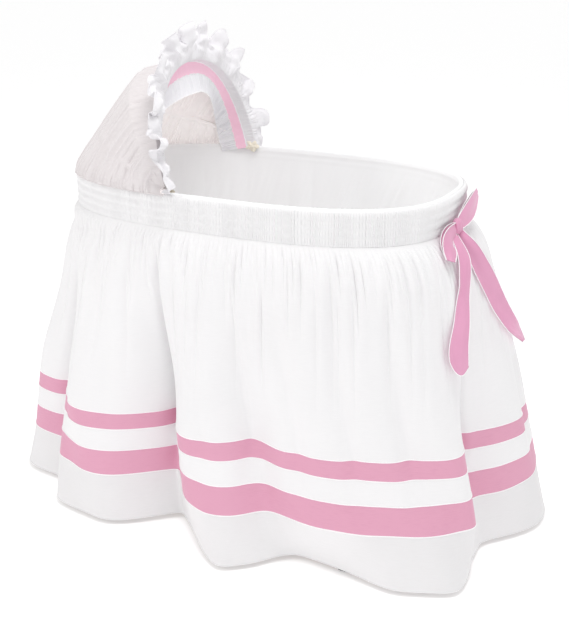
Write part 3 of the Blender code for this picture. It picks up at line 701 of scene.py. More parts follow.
def make_skirt():
    """The skirt's five strips, sewn end to end, with piping over their seams."""
    panels = (
        ("upper_panel", upper_levels(), WHITE, "white_cotton", 0.440),
        ("upper_stripe", levels(MIDDLE_STRIP_TOP, UPPER_STRIPE_TOP, 9), PINK, "pink_cotton", 0.040),
        ("middle_strip", levels(LOWER_STRIPE_TOP, MIDDLE_STRIP_TOP, 9), WHITE, "white_cotton", 0.050),
        ("lower_stripe", levels(HEM_TOP, LOWER_STRIPE_TOP, 11), PINK, "pink_cotton", 0.060),
        ("hem", levels(HEM_BOTTOM, HEM_TOP, 16), HEM_WHITE_PAINTED_SHADE, "white_cotton", 0.115),
    )
    for short, heights, look, slot, drop in panels:
        grid = skirt_rows(heights)
        made = surface(f"cloth_skirt_{short}", grid, [look], ring=True)
        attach(made, "basket")
        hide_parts(f"skirt_{short}")
        report(made, grid, True, SKIRT_CLOTH_WIDTH * drop)
    lines = [tube("seam", row, 0.0012, PIPING, 6, True) for row in skirt_rows(SKIRT_SEAMS)]
    edge = tube("seam", skirt_rows((HEM_BOTTOM,))[0], 0.0009, WHITE, 6, True)
    piping = join("skirt_piping", lines + [edge])
    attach(piping, "basket")


def report(made, grid, ring, flat):
    """Prints a sheet's measured and flat areas, and how wide and long it runs."""
    area = area_of(grid, ring)
    wide = np.mean([length_of(row) for row in grid[:: max(len(grid) // 8, 1)]])
    step = max(grid.shape[1] // 16, 1)
    long = np.mean([length_of(grid[:, c]) for c in range(0, grid.shape[1], step)])
    print(f"SHEET {made.name} {area:.4f} of {flat:.4f} = {area / flat:.2f}, runs {wide:.3f} by {long:.3f}")


WAISTBAND_FLAT = (2.75, 0.074)
SHIRR_RIBS = 490
SHIRR_ROWS = 4


def make_waistband():
    """The elastic waistband: fine upright puckers between rows of stitching, with a frill at its top."""
    turn = turns(3600)
    xy, out = oval(RIM_HALF, RIM_POWER, turn)
    ribs = gather(turn, SHIRR_RIBS, 71, 1.1)
    coarse = gather(turn, 170, 83, 0.8)
    rows = []
    frill_top = WAISTBAND_TOP + 0.0045
    for z in np.linspace(WAISTBAND_BOTTOM, frill_top, 32):
        share = (z - WAISTBAND_BOTTOM) / (frill_top - WAISTBAND_BOTTOM)
        between = abs(math.sin(math.pi * SHIRR_ROWS * share))
        puff = 0.0005 + 0.0019 * between
        stand = -0.0012 * float(smoothstep(share, 0.0, 0.12)) + puff * (0.6 + 0.7 * ribs)
        stand = stand + 0.0008 * coarse * between
        level = z + 0.0007 * coarse * smoothstep(share, 0.8, 1.0)
        rows.append(at_level(xy + out * stand[:, None], level))
    for inward in (0.0014, 0.0032, 0.0052):
        inner_edge = rows[31].copy()
        inner_edge[:, :2] -= out * inward
        inner_edge[:, 2] += 0.0016 * math.sin(inward / 0.0052 * math.pi / 2)
        rows.append(inner_edge)
    grid = np.stack(rows[::-1])
    made = surface("cloth_waistband", grid, [WHITE], ring=True)
    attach(made, "basket")
    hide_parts("skirt_waistband")
    report(made, grid, True, WAISTBAND_FLAT[0] * WAISTBAND_FLAT[1])


# ---------------------------------------------------------------- liner and mattress

LINER_BOTTOM = 0.520
LINER_FLAT = (2.30, 0.265)
LINER_SLANT = 0.035  # how far round the liner's creases move on between its bottom and its top, in turns


def make_liner():
    """The side liner hangs inside the wall with a little slack, and folds out over the rim."""
    turn = turns(1500)
    foot_inner = WALL_FOOT - WALL_THICKNESS
    long_wave = wander(turn, 5, (9, 15, 22, 31), 0.0022)
    rows = []
    for share in np.linspace(0.0, 1.0, 60):
        z = LINER_BOTTOM + (RIM_TOP - 0.004 - LINER_BOTTOM) * share
        rise = (z - WALL_LOW) / (WALL_HIGH - WALL_LOW)
        half = foot_inner + (WALL_INNER - foot_inner) * min(rise, 1.0) - 0.0022
        xy, out = oval(half, RIM_POWER, turn)
        slanted = turn + LINER_SLANT * (share - 0.5)
        wrinkle = wander(slanted, 9, (18, 27, 44, 63), 0.0030) * footward(turn)
        slack = (np.abs(long_wave) + np.abs(wrinkle)) * math.sin(math.pi * min(share * 1.05, 1.0))
        hem_line = -0.0006 if abs(share - 0.93) < 0.012 else 0.0
        rows.append(at_level(xy - out * (slack - hem_line)[:, None], z))
    middle = (WALL_INNER + WALL_OUTER) / 2
    radius = (WALL_OUTER[0] - WALL_INNER[0]) / 2 + 0.0012
    puckers = gather(turn, 160, 37, 0.9) * 0.0004
    for angle in np.linspace(math.pi, 0.0, 12):
        xy, out = oval(middle + math.cos(angle) * radius, RIM_POWER, turn)
        z = RIM_TOP - 0.003 + math.sin(angle) * 0.0062
        rows.append(at_level(xy, z + puckers * math.sin(angle)))
    xy, _ = oval(WALL_OUTER + 0.0006, RIM_POWER, turn)
    rows.append(at_level(xy, WAISTBAND_TOP - 0.004))
    grid = np.stack(rows)
    made = surface("cloth_side_liner", grid, [LINER_CLOTH_PAINTED_LIGHT], ring=True)
    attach(made, "basket")
    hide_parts("side_liner")
    report(made, grid, True, LINER_FLAT[0] * LINER_FLAT[1])


def footward(turn):
    """1 round the foot end and falling to a third at the head end, where the liner hangs smoother."""
    return 0.35 + 0.65 * smoothstep(np.cos(2 * math.pi * turn), -0.2, 0.8)


QUILT_PITCH = 0.09
MATTRESS_SEAM = 0.004  # how far the mattress's top and bottom stop short of its sides


def make_mattress():
    """A foam pad in a quilted cotton cover: crowned, with piped edges."""
    low, high = (corner.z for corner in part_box("mattress"))
    turn = turns(480)
    top, edge, side = [], [], []
    plan, _ = oval(MATTRESS_HALF - MATTRESS_SEAM, RIM_POWER, turn)
    for share in np.linspace(0.0, 1.0, 60):
        xy = plan * share
        crown = 0.003 * (1 - share**6)
        across, along = (np.sin(xy[:, i] * math.pi / QUILT_PITCH) for i in (0, 1))
        quilt = 0.0016 * np.abs(across * along) ** 0.5
        z = high - 0.0035 + crown + quilt * (1 - share**8) - 0.0016 - 0.004 * smoothstep(share, 0.93, 1.0)
        top.append(at_level(xy, z))
    for share in np.linspace(0.0, 1.0, 12)[1:-1]:
        bulge = math.sin(math.pi * share) ** 0.6 * 0.004
        xy, _ = oval(MATTRESS_HALF - MATTRESS_SEAM + bulge, RIM_POWER, turn)
        side.append(at_level(xy, high - 0.0085 - (high - low - 0.0125) * share))
    for share in np.linspace(1.0, 0.0, 20):
        lift = 0.004 * smoothstep(share, 0.9, 1.0)
        edge.append(at_level(plan * share, low + lift))
    grid = np.stack(top + side + edge)
    made = surface("padded_mattress", grid, [TICKING], ring=True)
    weld(made, 1e-5)
    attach(made, "mattress")
    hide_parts("mattress")
    cords = []
    for z in (high - 0.0078, low + 0.0042):
        xy, _ = oval(MATTRESS_HALF - 0.0030, RIM_POWER, turn)
        cords.append(tube("cord", at_level(xy, z), 0.0018, PIPING, 8, True))
    piping = join("mattress_piping", cords)
    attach(piping, "mattress")


# ---------------------------------------------------------------- woven basket


def weave_ring(half, z, wave_out, wave_up, stakes, start, radius):
    """One willow rod woven in and out round the stakes."""
    turn = turns(stakes * 5)
    xy, out = oval(half, RIM_POWER, turn)
    swing = np.sin(math.pi * stakes * turn + math.pi * start)
    uneven = 1 + wander(turn, int(z * 1e5) + start, (5, 11, 19), 0.12)
    path = at_level(xy + out * (swing * wave_out)[:, None], z + swing * wave_up)
    return tube("rod", path, radius * uneven, WICKER, 6, True)


BORDER_STRANDS = 3


def rope_border(name, half, z, reach, twists, radius):
    """Rods laid round each other, which close the top or bottom of the basket."""
    turn = turns(900)
    xy, out = oval(half, RIM_POWER, turn)
    rods = []
    for strand in range(BORDER_STRANDS):
        angle = 2 * math.pi * (twists * turn + strand / BORDER_STRANDS)
        around = xy + out * (np.cos(angle) * reach[0])[:, None]
        path = at_level(around, z + np.sin(angle) * reach[1])
        rods.append(tube("rod", path, radius, WICKER, 6, True))
    return join(name, rods)


WALL_STAKES = 88
WALL_WEAVERS = 40
BASE_RINGS = 30
BASE_STAKES = 12
STAKE_KNOT = 0.6  # the height at which a wall stake has its middle point


def woven_wall(foot, top):
    """The wall's weavers and the stakes that they pass."""
    rods = []
    for i in range(WALL_WEAVERS):
        share = (i + 0.5) / WALL_WEAVERS
        z = WALL_LOW + (WALL_HIGH - WALL_LOW) * share
        half = foot + (top - foot) * share
        rods.append(weave_ring(half, z, 0.0019, 0.0, WALL_STAKES, i % 2, 0.0026))
    low_xy, _ = oval(foot, RIM_POWER, turns(WALL_STAKES))
    high_xy, _ = oval(top, RIM_POWER, turns(WALL_STAKES))
    knot_share = (STAKE_KNOT - WALL_LOW) / (WALL_HIGH - WALL_LOW)
    for a, b in zip(low_xy, high_xy):
        knot = a + (b - a) * knot_share
        path = np.array([(*a, WALL_LOW), (*knot, STAKE_KNOT), (*b, WALL_HIGH)])
        rods.append(tube("stake", path, 0.0018, WICKER, 6, up=np.array((0.3, 1.0, 0.1))))
    return join("woven_wall", rods)


def woven_base():
    """The flat base: rings of willow over stakes that cross the whole base."""
    rods = []
    middle = BASKET_BOTTOM + 0.0042
    for i in range(BASE_RINGS):
        half = BASE_HALF * (i + 0.7) / (BASE_RINGS + 0.5)
        rods.append(weave_ring(half, middle, 0.0, 0.0014, 2 * BASE_STAKES, i % 2, 0.0025))
    for k in range(BASE_STAKES):
        end, _ = oval(BASE_HALF - 0.003, RIM_POWER, np.array([k / (2 * BASE_STAKES)]))
        a, b = np.array((*end[0], middle)), np.array((*-end[0], middle))
        rods.append(tube("stake", np.linspace(a, b, 5), 0.0016, WICKER, 6))
    return join("woven_base", rods)


def make_basket():
    """The basket itself, woven of willow: hidden under the skirt, seen when it is lifted."""
    top = (WALL_OUTER + WALL_INNER) / 2
    foot_border = (BASE_HALF + 0.0058, BASKET_BOTTOM + 0.006, (0.0030, 0.0032), 46, 0.0026)
    rim_border = (top, RIM_TOP - 0.0064, (0.0018, 0.0036), 60, 0.0021)
    parts = (
        (woven_wall(WALL_FOOT - 0.004, top), "basket_wall"),
        (woven_base(), "basket_base"),
        (rope_border("woven_base_border", *foot_border), "base_border"),
        (rope_border("woven_rim_border", *rim_border), "rim_border"),
    )
    for made, node in parts:
        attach(made, "basket")
        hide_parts(node)


# ---------------------------------------------------------------- hood


def hoop_plane(lean):
    """The directions up a hoop and out of its plane towards the head end."""
    angle = math.radians(lean)
    up = UP * math.cos(angle) + BACK * math.sin(angle)
    return up, BACK * math.cos(angle) - UP * math.sin(angle)


def arch(hoop, phi, wider=0.0, higher=0.0):
    """Points along a hoop. phi runs from 0 at the near foot to pi at the far one, and on past both feet."""
    up, _ = hoop_plane(hoop["lean"])
    c, s = np.cos(phi), np.sin(phi)
    side = -(hoop["half_width"] + wider) * np.sign(c) * np.abs(c) ** (2 / HOOP_POWER)
    rise = (hoop["height"] + higher) * np.sign(s) * np.abs(s) ** (2 / HOOP_POWER)
    return HINGE_MIDDLE + side[:, None] * ACROSS + rise[:, None] * up


def even_arch(hoop, count, start, wider=0.0, higher=0.0):
    """Angles that share a hoop's length evenly, from `start` degrees above each foot."""
    low = math.radians(start)
    fine = np.linspace(low, math.pi - low, 4000)
    path = arch(hoop, fine, wider, higher)
    walked = np.concatenate(((0,), np.cumsum(np.linalg.norm(np.diff(path, axis=0), axis=1))))
    return np.interp(np.linspace(0, walked[-1], count), walked, fine)


def arch_out(hoop, phi):
    """Out of the arch, in its plane."""
    _, behind = hoop_plane(hoop["lean"])
    step = 1e-3
    run = arch(hoop, phi + step) - arch(hoop, phi - step)
    return unit(np.cross(run, behind))


def rim_turn(point):
    """The place round the rim of a point on it, as a share of the way round."""
    turn = turns(4000)
    xy, _ = oval(RIM_HALF, RIM_POWER, turn)
    return turn[np.argmin(np.linalg.norm(xy - point[:2], axis=1))]


def canopy_hem(phi, inset):
    """The canopy's lower edge on the rim, from the near hinge round the head end to the far one."""
    near, far = rim_turn(HINGE_NEAR), rim_turn(HINGE_FAR)
    xy, _ = oval(RIM_HALF - inset, RIM_POWER, near + (far - near) * phi / math.pi)
    return at_level(xy, CANOPY_HEM)


CANOPY_COLUMNS = 760
CANOPY_EASE = 0.0035  # how far the canopy is wider than its drawn half width
CANOPY_LIFT = 0.0032  # of the cloth over the bows
CANOPY_CLOTH = 0.0012
CANOPY_CASING = 0.0052  # how much thicker the cloth and its lining are where they wrap a bow
CANOPY_SIDE_ROOM = 0.0095  # and how much more at the bows' feet, where the canopy is wider


def canopy_skin():
    """The canopy's cloth and its lining as rows from the front edge to the rim, and the row numbers of
    its seams."""
    wide = CANOPY_HALF_WIDTH + CANOPY_EASE
    phi = even_arch(MIDDLE_HOOP, CANOPY_COLUMNS, -1.6)
    lines = []
    for hoop in (FRONT_HOOP, MIDDLE_HOOP, REAR_HOOP):
        lines.append(arch(hoop, phi, wide - hoop["half_width"], CANOPY_LIFT))
    lines.append(canopy_hem(phi, -0.0030))
    front, middle, rear, hem = lines
    before = front + (front - middle) * 0.6
    after = hem + np.array((0.0, 0.0, -0.05))
    stops = (before, front, middle, rear, hem, after)
    steps = (22, 26, 34)
    rows = []
    for i, count in enumerate(steps):
        a, b, c, d = stops[i : i + 4]
        bend = 0.25 if i < 2 else 0.42
        for t in np.linspace(0, 1, count, endpoint=False):
            straight = b + (c - b) * t
            curved = catmull(a, b, c, d, t)
            rows.append(straight + (curved - straight) * bend)
    rows.append(hem)
    _, behind = hoop_plane(FRONT_HOOP["lean"])
    turned_in = arch(FRONT_HOOP, phi, 0.0022, 0.0022)
    lip = [turned_in - behind * 0.0062, front - behind * 0.0040]
    grid = np.stack(lip + rows)
    seams = (0, 2 + steps[0], 2 + steps[0] + steps[1], 2 + sum(steps))
    out = outward(grid)
    pleats = creased(len(grid), phi)
    near_bow = casings(grid, (2, seams[1], seams[2]))
    pleats = np.where(pleats < 0, pleats * (1 - 0.85 * near_bow), pleats)
    cloth = grid + out * pleats[:, :, None]
    under_bow = CANOPY_CASING + CANOPY_SIDE_ROOM * np.cos(phi)[None, :] ** 2
    inside = pleats * (1 - near_bow) - CANOPY_CLOTH - under_bow * near_bow
    return cloth, grid + out * inside[:, :, None], seams


def catmull(a, b, c, d, t):
    """A point a share t of the way from b to c on a smooth path through a, b, c and d."""
    cubic = 3 * b - a - 3 * c + d
    return 0.5 * (2 * b + (c - a) * t + (2 * a - 5 * b + 4 * c - d) * t**2 + cubic * t**3)


def normals_of(grid, ring=False):
    """The way that each point of a grid faces."""
    down = np.gradient(grid, axis=0)
    along = np.gradient(grid, axis=1)
    if ring:
        along[:, 0] = grid[:, 1] - grid[:, -1]
        along[:, -1] = grid[:, 0] - grid[:, -2]
    return unit(np.cross(along, down))


def creased(rows, phi):
    """How far the cloth stands out for its long sun-ray pleats, its puff over the hem and fine gathers."""
    turn = phi / math.pi
    stand = np.zeros((rows, len(phi)))
    for r in range(rows):
        down = r / (rows - 1)
        lean = turn + 0.012 * (down - 0.5) * np.cos(phi)
        ridges = sharp(lean, 13, 41) * 0.0090 - sharp(lean + 0.035, 17, 45) * 0.0075
        narrow = sharp(lean, 33, 47) * 0.0036 - sharp(lean, 29, 49) * 0.0038
        broad = wander(lean, 53, (4, 7, 11), 0.0016)
        depth = 0.22 + 0.78 * smoothstep(down, 0.0, 0.60)
        fine = gather(turn, 84, 59, 0.7) * 0.0022 * smoothstep(down, 0.74, 0.95)
        puff = 0.0030 * smoothstep(down, 0.60, 0.88) * (1 - smoothstep(down, 0.90, 1.0))
        quiet = np.minimum(smoothstep(turn, 0.0, 0.06), smoothstep(1 - turn, 0.0, 0.06))
        stand[r] = ((ridges + narrow + broad) * depth + fine + puff) * quiet
        stand[r] *= 1 - 0.6 * float(smoothstep(down, 0.97, 1.0))
    return stand


def sharp(place, count, seed):
    """Narrow ridges, unevenly spaced and of uneven height, from 0 to 1."""
    warped = place + wander(place, seed, (3, 5, 8), 0.35 / count)
    height = 0.5 + 0.5 * np.sin(2 * math.pi * count * warped)
    strong = np.clip(0.55 + wander(place, seed + 1, (4, 9, 14), 0.55), 0.0, 1.0)
    return height**7 * strong


def outward(grid):
    """A grid's normals, turned away from its middle."""
    out = normals_of(grid)
    middle = grid.mean(axis=(0, 1))
    return out if (out * (grid - middle)).sum() > 0 else -out


def casings(grid, hoop_rows):
    """How near each row is to a bow, where the lining passes under it: 1 at the bow, 0 away from it."""
    column = grid[:, grid.shape[1] // 2]
    walked = np.concatenate(((0,), np.cumsum(np.linalg.norm(np.diff(column, axis=0), axis=1))))
    nearness = [np.exp(-(((walked - walked[row]) / 0.015) ** 2)) for row in hoop_rows]
    return np.max(nearness, axis=0)[:, None]


def shell(name, grid, other, looks):
    """A closed skin: one grid, the other just inside it, and their four edges."""
    rows, columns = grid.shape[:2]
    loop_rows = []
    for r in range(rows):
        loop_rows.append(np.concatenate((grid[r], other[r, ::-1]), axis=0))
    joined = np.stack(loop_rows)

    def pick(_, c):
        return 0 if c < columns - 1 else len(looks) - 1

    made = surface(name, joined, looks, ring=True, pick=pick)
    cap_between(made, rows, 2 * columns)
    made.data.set_sharp_from_angle(angle=math.radians(55))
    return made


def cap_between(obj, rows, across):
    """Closes the first and last rows of a folded-over grid with quads between its two halves."""
    bm = bmesh.new()
    bm.from_mesh(obj.data)
    bm.verts.ensure_lookup_table()
    for start in (0, (rows - 1) * across):
        for c in range(across // 2 - 1):
            ring = (start + c, start + c + 1, start + across - 2 - c, start + across - 1 - c)
            bm.faces.new([bm.verts[i] for i in ring])
    bmesh.ops.recalc_face_normals(bm, faces=bm.faces)
    bm.to_mesh(obj.data)
    bm.free()
    obj.data.shade_smooth()


def make_canopy():
    """The canopy's three panels and its hem's cord."""
    cloth, lining, seams = canopy_skin()
    front_lean, middle_lean, rear_lean = (hoop["lean"] for hoop in (FRONT_HOOP, MIDDLE_HOOP, REAR_HOOP))
    _, front_behind = hoop_plane((front_lean + middle_lean) / 2)
    _, middle_behind = hoop_plane((middle_lean + rear_lean) / 2)
    hem_level = HINGE_MIDDLE + UP * (CANOPY_HEM - HINGE_MIDDLE[2])
    parts = (
        ("front", 0, "front_bow", "middle_bow", HINGE_MIDDLE, front_behind, -0.020, 0.020, (0.78, 0.066)),
        ("middle", 1, "middle_bow", "rear_bow", HINGE_MIDDLE, middle_behind, -0.045, 0.045, (0.80, 0.092)),
        ("rear", 2, "basket", "rear_bow", hem_level, UP, 0.0, 0.036, (0.92, 0.092)),
    )
    for short, first, one, other, middle, direction, low, high, flat in parts:
        rows = slice(seams[first], seams[first + 1] + 1)
        skin = cloth[rows]
        made = shell(f"cloth_canopy_{short}", skin, lining[rows], [HOOD_WHITE_PAINTED_SHADE, LINING_PAINTED_LIGHT])
        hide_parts(f"canopy_{short}_panel")
        report(made, skin, False, flat[0] * flat[1])
        start, end = middle + direction * low, middle + direction * high
        tuple(start)
        tuple(end)
        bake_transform(made)
    hem = tube("canopy_hem_cord", cloth[-1][::2], 0.0013, HOOD_WHITE_PAINTED_SHADE, 8)
    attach(hem, "basket")


RUFFLE_HEIGHT = (0.044, 0.071)  # at the arch's feet and at its top
RUFFLE_PUFFS = 11
RUFFLE_FORWARD = 0.0085  # how far in front of the bow the ruffle turns outward
RUFFLE_FLAT = (1.15, 0.092)
TRIM_SET_BACK = (0.008, 0.016)  # how far behind the bow the pink band is sewn, at its top and feet
TRIM_CLEAR = 0.0048  # the trim's distance inside the bow
PINK_BAND_WIDTH = 0.027
SHIRRED_BAND_WIDTH = 0.040


def crumple(a, b, seed, size, count=10):
    """Smooth random hills over a surface, from plane waves of about one wavelength `size`."""
    random = np.random.default_rng(seed)
    total = np.zeros(np.broadcast(a, b).shape)
    for _ in range(count):
        heading = random.uniform(0, math.pi)
        wave = 2 * math.pi / (size * random.uniform(0.7, 1.5))
        total += np.sin(wave * (a * math.cos(heading) + b * math.sin(heading)) + random.uniform(0, 6.3))
    return total / math.sqrt(count)


def set_back(phi):
    """How far behind the front bow the pink band's outer edge is sewn."""
    top, feet = TRIM_SET_BACK
    return top + (feet - top) * np.cos(phi) ** 2


def make_ruffle():
    """The gathered ruffle round the arch. It is sewn on inside the bow, comes forward under it and
    stands out round it in deep puffs."""
    columns, inner_rows, outer_rows = 1400, 7, 30
    phi = even_arch(FRONT_HOOP, columns, -1.7, -TRIM_CLEAR, -TRIM_CLEAR)
    root = arch(FRONT_HOOP, phi, -TRIM_CLEAR, -TRIM_CLEAR)
    _, behind = hoop_plane(FRONT_HOOP["lean"])
    out = arch_out(FRONT_HOOP, phi)
    along = unit(np.cross(behind, out))
    place = np.linspace(0.0, 1.0, columns)
    distance = place * length_of(root)
    fine = gather(place, 104, 27, 0.8)
    rows = []
    for share in np.linspace(0.0, 1.0, inner_rows, endpoint=False):
        back = set_back(phi) * (1 - share) - RUFFLE_FORWARD * share
        rows.append(root + behind * back[:, None] + out * (fine * 0.0009 * share)[:, None])
    height = RUFFLE_HEIGHT[0] + (RUFFLE_HEIGHT[1] - RUFFLE_HEIGHT[0]) * np.abs(np.sin(phi)) ** 0.7
    height = height * (1 + wander(place, 21, (5, 9, 14), 0.05))
    phase = 2 * math.pi * (RUFFLE_PUFFS * place + wander(place, 23, (3, 7, 11), 0.20))
    rise, reach = 0.0, RUFFLE_FORWARD
    for t in np.linspace(0.0, 1.0, outer_rows):
        lean = math.radians(34 - 52 * t)
        up_part, front_part = math.cos(lean), math.sin(lean)
        swing = t**1.1
        wave = 0.0150 * swing * np.sin(phase)
        wave += 0.0060 * swing * np.sin(1.7 * phase + 1.1 + 0.9 * np.sin(phase * 0.37))
        hills = crumple(distance, t * 0.07, 29, 0.024) * 0.0046 * smoothstep(t, 0.10, 0.6)
        stand = wave + hills + fine * 0.0013 * (1 - 0.8 * t) * smoothstep(t, 0.0, 0.10)
        sway = -0.0060 * swing * np.sin(2 * phase + 0.4)
        sway += 0.0045 * t * crumple(distance, t * 0.07, 31, 0.030)
        lobes = np.abs(np.sin(0.5 * phase + 0.7 + 0.5 * np.sin(0.6 * phase))) ** 0.7
        scallop = height * (t + t**2.5 * 0.20 * (lobes - 0.62))
        rows.append(
            root
            - behind * (reach + stand * up_part)[:, None]
            + out * (rise + (scallop - height * t) + stand * -front_part)[:, None]
            + along * sway[:, None]
        )
        rise = rise + height * up_part / (outer_rows - 1)
        reach = reach + height * front_part / (outer_rows - 1)
    grid = np.stack(rows)
    made = surface("cloth_ruffle", grid, [RUFFLE_WHITE])
    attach(made, "front_bow")
    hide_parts("hood_ruffle")
    report(made, grid, False, RUFFLE_FLAT[0] * RUFFLE_FLAT[1])
    edge = tube("ruffle_hem", grid[-1], 0.0008, RUFFLE_WHITE, 6)
    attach(edge, "front_bow")


def valance_grid(start, end, rows, columns, wave):
    """A band inside the front hoop: it hangs at the top and runs back along the rim at the feet.
    wave(place, t) gives how far its cloth shifts across the band and stands off it."""
    phi = even_arch(FRONT_HOOP, columns, -1.5)
    up, behind = hoop_plane(FRONT_HOOP["lean"])
    place = np.linspace(0, 1, columns)
    top = np.abs(np.sin(phi)) ** (2 / HOOP_POWER) * np.sign(np.sin(phi))
    plain_rows, lifts = [], []
    for t in np.linspace(0.0, 1.0, rows):
        shift, lift = wave(place, t)
        width = start + (end - start) * t + shift
        edge = arch(FRONT_HOOP, phi, -TRIM_CLEAR - 0.0006, -TRIM_CLEAR - 0.0006)
        back = set_back(phi) + width * np.abs(np.cos(phi)) ** 1.7
        plain_rows.append(edge - up * (width * top)[:, None] + behind * back[:, None])
        lifts.append(np.broadcast_to(lift, (columns,)))
    grid = np.stack(plain_rows)
    return grid + normals_of(grid) * np.stack(lifts)[:, :, None]


def seam_wobble(place):
    """The uneven line where the shirred band is sewn to the pink one."""
    return wander(place, 61, (21, 37, 55, 83), 0.0013)


def pink_wave(place, t):
    """The pink band's slight unevenness."""
    lift = wander(place, 63, (13, 29, 41), 0.0006) * math.sin(math.pi * t)
    return seam_wobble(place) * (0.4 + 0.6 * t), lift


def shirred_wave(place, t):
    """The shirred band's small pleats."""
    pleats = gather(place, 92, 67, 0.7)
    shift = seam_wobble(place) * (1 - t) + 0.0012 * pleats * t
    return shift, 0.0015 * pleats * math.sin(math.pi * min(0.12 + t * 0.8, 1.0))


def make_inner_bands():
    """The pink band and the shirred band inside the arch, with piping along their seams."""
    pink = valance_grid(0.0, PINK_BAND_WIDTH, 8, 900, pink_wave)
    shirred = valance_grid(PINK_BAND_WIDTH, PINK_BAND_WIDTH + SHIRRED_BAND_WIDTH, 14, 1500, shirred_wave)
    bands = (
        ("pink_band", pink, PALE_PINK_PAINTED_LIGHT, "pale_pink_cotton", "stretched", (0.76, 0.027)),
        ("shirred_band", shirred, SHIRRED_WHITE_PAINTED_LIGHT, "white_cotton", "gathered", (0.90, 0.042)),
    )
    for short, grid, look, slot, held, flat in bands:
        made = surface(f"cloth_{short}", grid, [look])
        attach(made, "front_bow")
        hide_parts(f"hood_{short}")
        report(made, grid, False, flat[0] * flat[1])
    lines = []
    for grid, row in ((pink, 0), (pink, -1), (shirred, -1)):
        lines.append(tube("line", grid[row][::2], 0.0010, PIPING, 6))
    trim = join("band_piping", lines)
    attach(trim, "front_bow")


def make_rosettes():
    """Small fabric rosettes over the pins: a gathered disc of petals round a knotted middle."""
    for side in ("near", "far"):
        low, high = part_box(f"rosette_{side}")
        middle = np.array((low + high) / 2) - UP * 0.007
        inward = ACROSS * (1 if side == "near" else -1)
        level = unit(np.cross(UP, inward))
        angles = np.linspace(0, 2 * math.pi, 120, endpoint=False)
        rings = []
        for share in np.linspace(0.0, 1.0, 16):
            petals = 1 + 0.16 * share * np.sin(5 * angles + 2.2 * share)
            petals = petals + 0.05 * share * np.sin(17 * angles)
            radius = 0.0142 * share * petals
            height = 0.0045 * (1 - share) ** 0.6 + 0.0016 * share * np.sin(5 * angles + 2.2 * share + 1.2)
            height += 0.0010 * np.sin(3 * angles + 9 * share) * share
            ring = (
                middle
                + level * (radius * 1.12 * np.cos(angles))[:, None]
                + UP * (radius * 0.9 * np.sin(angles))[:, None]
                + inward * (height - 0.001)[:, None]
            )
            rings.append(ring)
        flower = surface(f"fabric_rosette_{side}", np.stack(rings), [CREAM], ring=True)
        weld(flower, 1e-5)
        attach(flower, "basket")
        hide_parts(f"rosette_{side}")
        middle_knot = tube(
            f"rosette_knot_{side}",
            np.array([middle + inward * (0.001 + 0.0042 * k / 4) for k in range(5)]),
            np.array((0.0046, 0.0050, 0.0046, 0.0034, 0.0012)),
            CREAM,
            14,
            up=UP,
        )
        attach(middle_knot, "basket")


# ---------------------------------------------------------------- ribbon bow


FOOT_COLUMNS = 720


def skirt_lookup():
    """Heights and the skirt's outline at each, for laying the ribbons on it."""
    heights = np.linspace(WAISTBAND_BOTTOM, 0.40, 60)
    return heights, skirt_rows(heights, FOOT_COLUMNS)


def on_foot(y, z, off, table):
    """A point at the foot end `off` outside the skirt, with the directions out of it and along it."""
    heights, rows = table
    if z >= WAISTBAND_BOTTOM:
        xy, _ = oval(RIM_HALF, RIM_POWER, turns(FOOT_COLUMNS))
        row = at_level(xy, z)
    else:
        i = int(np.argmin(np.abs(heights - z)))
        row = rows[i].copy()
        row[:, 2] = z
    foot = row[row[:, 0] > 0.2]
    foot = foot[np.argsort(foot[:, 1])]
    ys = foot[:, 1]
    xs = np.interp(y + np.linspace(-0.03, 0.03, 13), ys, foot[:, 0])
    slope = np.polyfit(np.linspace(-0.03, 0.03, 13), xs, 1)[0]
    along = unit(np.array((slope, 1.0, 0.0)))
    out = np.cross(along, UP)
    return np.array((float(xs.max() * 0.5 + xs[6] * 0.5), y, z)) + out * off, out, along


def spline(stops, count):
    """A smooth path through stops."""
    stops = np.asarray(stops, dtype=float)
    padded = np.concatenate((stops[:1] * 2 - stops[1:2], stops, stops[-1:] * 2 - stops[-2:-1]))
    segments = len(stops) - 1
    points = []
    for u in np.linspace(0, segments, count):
        i = min(int(u), segments - 1)
        t = u - i
        a, b, c, d = padded[i : i + 4]
        points.append(catmull(a, b, c, d, t))
    return np.array(points)


def ribbon(name, node, centres, across, widths, ends=(0.0, 0.0)):
    """A ribbon along a path, with its two edges piped. ends shear its last edge."""
    columns = 15
    grid = np.zeros((len(centres), columns, 3))
    for i, (centre, wide, width) in enumerate(zip(centres, across, widths)):
        for c, share in enumerate(np.linspace(-0.5, 0.5, columns)):
            grid[i, c] = centre + wide * width * share
    ahead = unit(np.gradient(centres, axis=0))
    reach = smoothstep(np.linspace(0, 1, len(centres)), 0.82, 1.0)
    for c, share in enumerate(np.linspace(-1, 1, columns)):
        cut = ends[0] * share + ends[1] * (share * share - 0.5)
        grid[:, c] += ahead * (reach * cut)[:, None]
    normal = normals_of(grid)
    fold = 0.0016 * np.sin(np.linspace(0, 2.5 * math.pi, columns))[None, :, None]
    grid = grid + normal * fold * np.linspace(0.4, 1.0, len(centres))[:, None, None]
    cloth = surface(name, grid, [RIBBON])
    border = np.concatenate((grid[:, 0], grid[-1, 1:-1], grid[::-1, -1]))
    trim = tube(f"{name}_edge", border, 0.0009, PIPING, 6)
    for piece in (cloth, trim):
        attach(piece, "basket")
    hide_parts(node)
    flat = (float(np.mean(widths)), length_of(centres))
    report(cloth, grid, False, flat[0] * flat[1])


KNOT_AT = (-0.033, 0.702)


def facing(out, along, degrees):
    """The way a ribbon faces: out of the skirt, turned some degrees towards the near side."""
    angle = math.radians(degrees)
    return out * math.cos(angle) - along * math.sin(angle)


